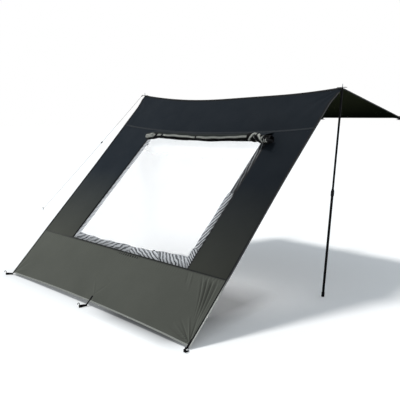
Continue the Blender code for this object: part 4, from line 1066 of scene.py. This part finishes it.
def build_film():
    """Soft film in the window, gathered into its seam: it creases in a band round the edge."""
    back = -CLOTH / 2 - 2 * FIT
    margin = 0.03
    where = across_window(margin)
    shares = np.concatenate([np.linspace(0, 0.08, 31)[:-1], np.linspace(0.08, 0.92, 130)[:-1],
                             np.linspace(0.92, 1, 36)])
    rows = np.concatenate([spaced(WINDOW_HEAD - margin, 0.8, 0.012)[:-1], spaced(0.8, 1.95, 0.01)[:-1],
                           spaced(1.95, LOWER_SEAM + margin, 0.0045)])
    kept = {}

    def point(share, row, height):
        x = where(share, row)
        marks, depth = film_margin(x, row)
        kept.update(marks)
        sag = 0.0016 * sin(3.1 * x + 0.5) * sin(2.2 * row) * (1 - marks["gather"])
        return to_world(x, row_slant(x, row), back - 0.0075 * depth - np.abs(sag) + height)

    piece = slab("window_sheet", point, shares, rows, -0.0005, 0, MATS["film"],
                 lambda share, row: (where(share, row), row))
    piece.data.materials.append(MATS["gathered"])
    for key in FILM_MARKS:
        mark(piece, key, kept[key])
    creased = np.tile(kept["gather"].ravel(), 2) > 0.02
    for face in piece.data.polygons:
        face.material_index = int(any(creased[index] for index in face.vertices))
    dress(piece, "window_film", "wall")


# Roof

def build_roof():
    stations = np.union1d(spaced(-HALF_RIDGE, HALF_RIDGE, 0.0125), [-INSIDE_BINDING, INSIDE_BINDING])
    tape_start = 1 - REAR_TAPE / REAR_HEM_REACH
    clipped = CORNER_CLIP / REAR_HEM_REACH
    rows = np.union1d([RIDGE_SEAM / REAR_HEM_REACH, 0.01, clipped, 0.985, 0.992, 1],
                      np.linspace(0.03, tape_start, 110))
    roof = slab("roof_cloth", roof_place, stations, rows, *BODY, MATS["roof"])
    dress(roof, "roof_panel", "canopy")
    top = CLOTH / 2 + FIT
    rear_rows = rows[rows >= tape_start - 1e-9]
    rear = slab("roof_webbing_rear", roof_place, stations, rear_rows, top, top + WEBBING, MATS["ridge"],
                lambda x, v: (x, (v - 1) * REAR_HEM_REACH + REAR_TAPE / 2))
    sewn = [dress(rear, "roof_hem_rear", "canopy")]
    inner_rows = rows[(rows >= clipped - 1e-9) & (rows <= tape_start + 1e-9)]
    for side, name in ((-1, "left"), (1, "right")):
        edge = [x for x in stations if side * x >= INSIDE_BINDING - 1e-9]
        hem = slab(f"roof_edge_{name}", roof_place, edge, inner_rows, -top - TAPE, -top, MATS["binding"],
                   lambda x, v: (v * REAR_HEM_REACH, np.abs(x) - INSIDE_BINDING))
        sewn.append(dress(hem, f"roof_hem_{name}", "canopy"))
    sewn.append(build_ridge())


def build_ridge():
    """The binding over the ridge seam."""
    low, high, width = CLOTH / 2 + 2 * FIT, CLOTH / 2 + 2 * FIT + TAPE, 0.022
    end = TAB_END - TAB_LENGTH - 0.001
    rings = []
    out, down = np.array(OUT), np.array(DOWN)
    v = width / REAR_HEM_REACH
    for x in np.linspace(-end, end, 160):
        top = ridge_point(np.array(x))
        _, ahead_y, ahead_z = roof_middle(np.clip(x / roof_half(v), -1, 1), np.array(v)) - top
        along = np.array([0, ahead_y, ahead_z])
        along /= np.linalg.norm(along)
        up = np.array([0, -along[2], along[1]])
        bend = (out + up) / np.linalg.norm(out + up)
        mitre = 1 / bend.dot(out)
        rings.append([
            top + down * width + out * low, top + bend * low * mitre, top + along * width + up * low,
            top + along * width + up * high, top + bend * high * mitre, top + down * width + out * high,
        ])
    return dress(across_ridge(skin("ridge_strip", rings, MATS["ridge"])), "ridge_tape")


# Rolled window cover

ROLL_BULGE = 0.0025
ROLL_SWELL = 0.008
ROLL_CORE = 0.004
ROLL_CENTRE = ROLL_CORE + ROLL_RADIUS + ROLL_BULGE + 0.003 + ROLL_SWELL
NOTCH_RADIUS = 0.03
FOLD_REACH = 0.045
TURNS = 9
FLAP_LIFT = 0.0008
# The ties' bands: x, and how far each runs along the roll from back to front
BANDS = ((-0.575, 0.026), (-0.47, 0.02), (0.09, 0), (0.975, -0.03), (1.083, -0.006))
# Pale folds of the bunched right end: x and height across the view at either end, and half width
PALE_FOLDS = (
    (0.83, 0.65, 0.89, -1, 0.008),
    (0.905, -0.8, 0.908, -1, 0.005),
    (0.905, -0.15, 0.94, 0.7, 0.0055),
    (0.945, -1, 1, 0.6, 0.011),
    (1.02, -0.65, 0.995, 0, 0.008),
    (1.034, -0.1, 1.036, 0.55, 0.006),
    (1.06, -0.1, 1.062, 0.55, 0.009),
)
FACING = math.radians(130.7)


def from_tie(x):
    return np.min([np.abs(x - place) for place, _ in BANDS], axis=0)


def roll_bulge(x):
    return ROLL_BULGE * sin(math.tau * (x - ROLL_LEFT) / 0.46)


def in_view(angle):
    """1 on the side of the roll that faces the view."""
    return ease(cos(angle - FACING) * 4 + 0.6)


def pale_folds(x, angle):
    """1 on the pale folds of the bunched end."""
    side = FOLD_REACH * sin(angle - FACING)
    made = 0 * (x + angle)
    for start_x, start_side, stop_x, stop_side, width in PALE_FOLDS:
        run_x, run_side = stop_x - start_x, FOLD_REACH * (stop_side - start_side)
        from_x, from_side = x - start_x, side - FOLD_REACH * start_side
        share = unit((from_x * run_x + from_side * run_side) / (run_x ** 2 + run_side ** 2))
        away = hypot(from_x - share * run_x, from_side - share * run_side)
        made = np.maximum(made, bell(away, 0, width))
    return made * in_view(angle)


def roll_reach(x, angle):
    """The roll's outer radius: soft bulges, gathers beside the ties, bunched folds at the right end."""
    ends = np.minimum(1, np.minimum(0.8 + (x - ROLL_LEFT) / 0.05, 0.74 + (ROLL_RIGHT - x) / 0.05))
    bunch = ease((x - 0.79) / 0.06)
    loose = (ROLL_RADIUS + roll_bulge(x) + ROLL_SWELL * bunch) * ends
    nearest = from_tie(x)
    tight = (1 - ease((nearest / 0.026 - 0.3) / 1.1)) * (1 - 0.6 * bunch)
    gathers = exp(-nearest / 0.045) * unit(nearest / 0.014)
    ripple = 0.0007 * sin(3 * angle + 9 * x) + 0.0005 * sin(5 * angle - 21 * x)
    ripple = ripple + 0.0011 * gathers * sin(11 * angle + 3 * sin(30 * x))
    crumple = sin(7 * angle + 60 * x) * sin(4 * angle - 35 * x)
    ripple = ripple + 0.002 * bell(x, -0.685, 0.06) * crumple
    lobes = np.abs(sin(2.5 * angle + 34 * x)) ** 0.7
    crush = bunch * (0.009 * (1 - lobes) - 0.0075 * pale_folds(x, angle))
    return loose + (NOTCH_RADIUS - loose) * tight + (1 - tight) * (ripple - crush)


def roll_centre(x):
    """Slant and height of the roll's middle; its ends hang lower than the rest."""
    hang = 0.003 * ease((x + 0.25) / 0.45) + 0.036 * ease((x - 0.82) / 0.26)
    hang = hang + 0.034 * ease((-0.555 - x) / 0.185)
    return row_slant(x, ROLL_ROW) + hang, ROLL_CENTRE


def round_roll(x, angle, reach):
    """Slant and height of a place at an angle round the roll's middle."""
    slant, height = roll_centre(x)
    return slant - reach * cos(angle), height + reach * sin(angle)


def flap_top(x):
    """How far down the slope the flap leaves the upper seam."""
    return row_slant(x, UPPER_SEAM) + 0.0103


def leaving_angle(x):
    """Where round the roll the flap arrives from the seam, at a tangent."""
    slant, height = roll_centre(x)
    across, rise = slant - flap_top(x), FLAP_LIFT - height
    reach = ROLL_RADIUS + roll_bulge(x) + ROLL_SWELL * bell(x, 0.96, 0.08) + 0.0012
    return np.arctan2(rise, across) + np.arccos(np.clip(reach / hypot(across, rise), -1, 1))


def mark_roll(roll, x, angle):
    """Marks where the roll is painted pale, partly its inner side and partly painted highlight, and where
    the outer side shows above that; below, it is painted black as shadow.
    """
    side = sin(angle - FACING)
    crumpled = ease((-0.592 - x) / 0.03)
    wavy = 0.08 * sin(6 * x) + 0.05 * sin(31 * x)
    upper = ease((side + 0.5 + 0.4 * crumpled - wavy) / 0.25)
    lower = 1 - ease((side - 0.02 - 0.28 * crumpled - wavy) / 0.22)
    spots = sin(90 * x + 3 * angle) * sin(9 * angle - 37 * x) * sin(140 * x + 5 * angle)
    slit = bell(x, -0.622, 0.011) * bell(side, -0.35, 0.3)
    band = upper * lower * (1 - 0.75 * crumpled * ease((spots - 0.1) / 0.35)) * (1 - 0.9 * slit)
    bunch = ease((x - 0.795) / 0.012)
    # Painted highlight: the pale band and the bunched end's pale folds lie only on the side that faces the
    # view
    mark(roll, "pale", (1 - bunch) * band * in_view(angle) + bunch * pale_folds(x, angle))
    # Outside this mark the roll is painted black, as shadow below its pale band, and on the whole bunched
    # end
    mark(roll, "above", (1 - ease(side / 0.2)) * (1 - bunch))


def build_roll():
    """The flap wound on itself: a real spiral of cloth, with a pale band, partly its inner side and partly
    painted highlight.
    """
    stations = spaced(ROLL_LEFT, ROLL_RIGHT, 0.0055)
    steps = np.concatenate([np.linspace(0, 2, 129)[:-1], np.linspace(2, TURNS, 14 * (TURNS - 2))])

    def turned(x, turn):
        return leaving_angle(x) + math.tau * turn

    def point(x, turn, height):
        angle = turned(x, turn)
        reach = ROLL_CORE + (roll_reach(x, angle) - ROLL_CORE) * (1 - turn / TURNS * 0.97) + height
        end = unit((np.abs(x - 0.5 * (ROLL_LEFT + ROLL_RIGHT)) - 0.9) / 0.0575)
        shift = end * (0.004 * sin(1.7 * math.tau * turn) + 0.003 * sin(0.37 * math.tau * turn))
        moved = np.clip(x - np.sign(x) * np.abs(shift), ROLL_LEFT, ROLL_RIGHT)
        return to_world(moved, *round_roll(x, angle, reach))

    roll = slab("cover_rolled", point, stations, steps, 0, 0.0007, MATS["cover"],
                lambda x, turn: (x, turn * 0.18))
    x, turn = np.meshgrid(stations, steps)
    mark_roll(roll, x, turned(x, turn))
    return dress(roll, "cover_roll", "cover")


def flap_foot(x):
    """Slant and height of the place where the flap meets the roll."""
    angle = leaving_angle(x)
    return round_roll(x, angle, roll_reach(x, angle) + 0.0006)


def build_web():
    """The flap between the upper seam and the roll."""
    stations = spaced(ROLL_LEFT + 0.012, ROLL_RIGHT - 0.075, 0.01)

    def point(x, share, height):
        top, (foot, foot_rise) = flap_top(x), flap_foot(x)
        fold = 0.0022 * sin(34 * x + 2 * sin(9 * x)) * sin(math.pi * share) ** 1.5
        rise = FLAP_LIFT + (foot_rise - FLAP_LIFT) * share + fold + height
        return to_world(x, top + (foot - top) * share, rise)

    web = slab("cover_flap", point, stations, np.linspace(0, 1, 40), 0, 0.0006, MATS["web"])
    # From the lowest place of its head to the highest of its foot
    start = to_world(0.1, float(flap_top(stations).max()), 0)
    end = to_world(0.1, float(flap_foot(stations)[0].min()) - 0.001, 0)
    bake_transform(web)
    return dress(web, "cover_web")


def band(index, width):
    """A webbing band round the roll."""
    x, lean = BANDS[index]
    angles = np.linspace(0, math.tau, 49)[:-1]
    where = x + lean * cos(angles - 0.6)
    reach = np.minimum(roll_reach(where, angles), NOTCH_RADIUS + 0.004) + 0.0014
    middles = to_world(where, *round_roll(where, angles, reach))
    outward = to_world(0 * where, -cos(angles), sin(angles)) - np.array(RIDGE)
    along = np.roll(middles, -1, axis=0) - np.roll(middles, 1, axis=0)
    return ribbon("band", middles, np.cross(along, outward), outward, width, 0.0016, closed=True)


def tail(width, *points):
    """A loose strap end on the roll's front, through points of (x, height across the view, lift)."""
    corners = []
    for x, side, lift in points:
        angle = np.array(FACING + math.asin(side))
        reach = roll_reach(np.array(min(x, ROLL_RIGHT - 0.015)), angle) + lift
        corners.append((x, *round_roll(x, angle, reach)))
    fine = np.linspace(0, len(corners) - 1, 6 * len(corners))
    smooth = np.stack([np.interp(fine, range(len(corners)), line) for line in zip(*corners)], axis=1)
    for _ in range(4):
        smooth[1:-1] = (smooth[:-2] + 2 * smooth[1:-1] + smooth[2:]) / 4
    middles = to_world(*smooth.T)
    along = np.gradient(middles, axis=0)
    face = to_world(0, -math.cos(FACING), math.sin(FACING)) - np.array(RIDGE)
    across = np.cross(along, np.tile(face, (len(middles), 1)))
    return ribbon("tail", middles, across, np.cross(across, along), width, 0.0015)


def build_ties():
    """Webbing ties: two bands at the left, one in the middle, a crossed and knotted pair at the right."""
    ties = {
        "left": [
            band(0, 0.02),
            band(1, 0.022),
            tail(0.018, (-0.595, 0.3, 0.002), (-0.567, -0.1, 0.006), (-0.543, -0.5, 0.003)),
            tail(0.016, (-0.482, -0.2, 0.003), (-0.478, 0.3, 0.005), (-0.47, 0.8, 0.003)),
        ],
        "middle": [
            band(2, 0.02),
            tail(0.016, (0.088, -0.3, 0.002), (0.092, 0.2, 0.005), (0.094, 0.85, 0.004)),
        ],
        "right": [
            band(3, 0.016),
            band(4, 0.03),
            tail(0.016, (0.905, -0.6, 0.004), (0.915, -0.2, 0.007), (0.944, 0.4, 0.006),
                 (0.972, 0.98, 0.003)),
            tail(0.02, (1.02, -0.95, 0.004), (1.024, -0.5, 0.007), (1.048, -0.15, 0.006),
                 (1.072, 0.1, 0.004)),
            tail(0.022, (1.084, 0.9, 0.003), (1.078, 0.3, 0.009), (1.08, -0.4, 0.006)),
            tail(0.02, (1.078, 0.1, 0.009), (1.104, 0.1, 0.016), (1.126, 0.2, 0.018), (1.15, 0.35, 0.014)),
        ],
    }
    return [dress(joined(f"tie_webbing_{side}", parts), f"tie_{side}", "cover")
            for side, parts in ties.items()]


def build_cover():
    roll, web, ties = build_roll(), build_web(), build_ties()
    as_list(ties)


# Fittings that stay as in the CAD

def dress_nodes():
    """The CAD's own solids that show get their materials and smooth shading."""
    looks = {
        "webbing": ("peak_tab", "strap", "hem_loop"),
        "peg": ("eyelet", "peg", "guy_peg"),
        "rubber": ("cup_pad", "pole_foot"),
        "plastic": ("cup_body", "cup_lever", "pole_collar", "guy_runner"),
        "plug": ("pole_tip",),
        "pole": ("pole_upper", "pole_lower"),
    }
    for name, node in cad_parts.items():
        look = next((look for look, starts in looks.items() if name.startswith(starts)), None)
        if look and not node.hide_render:
            node.data.materials.clear()
            node.data.materials.append(MATS[look])
            node.data.shade_smooth()
            node.data.set_sharp_from_angle(angle=math.radians(38))


def main():
    bpy.context.scene.view_settings.view_transform = "Standard"
    build_camera()
    build_world()
    build_floor()
    build_sun()
    build_guy()
    build_wall()
    build_film()
    build_roof()
    build_cover()
    dress_nodes()


main()
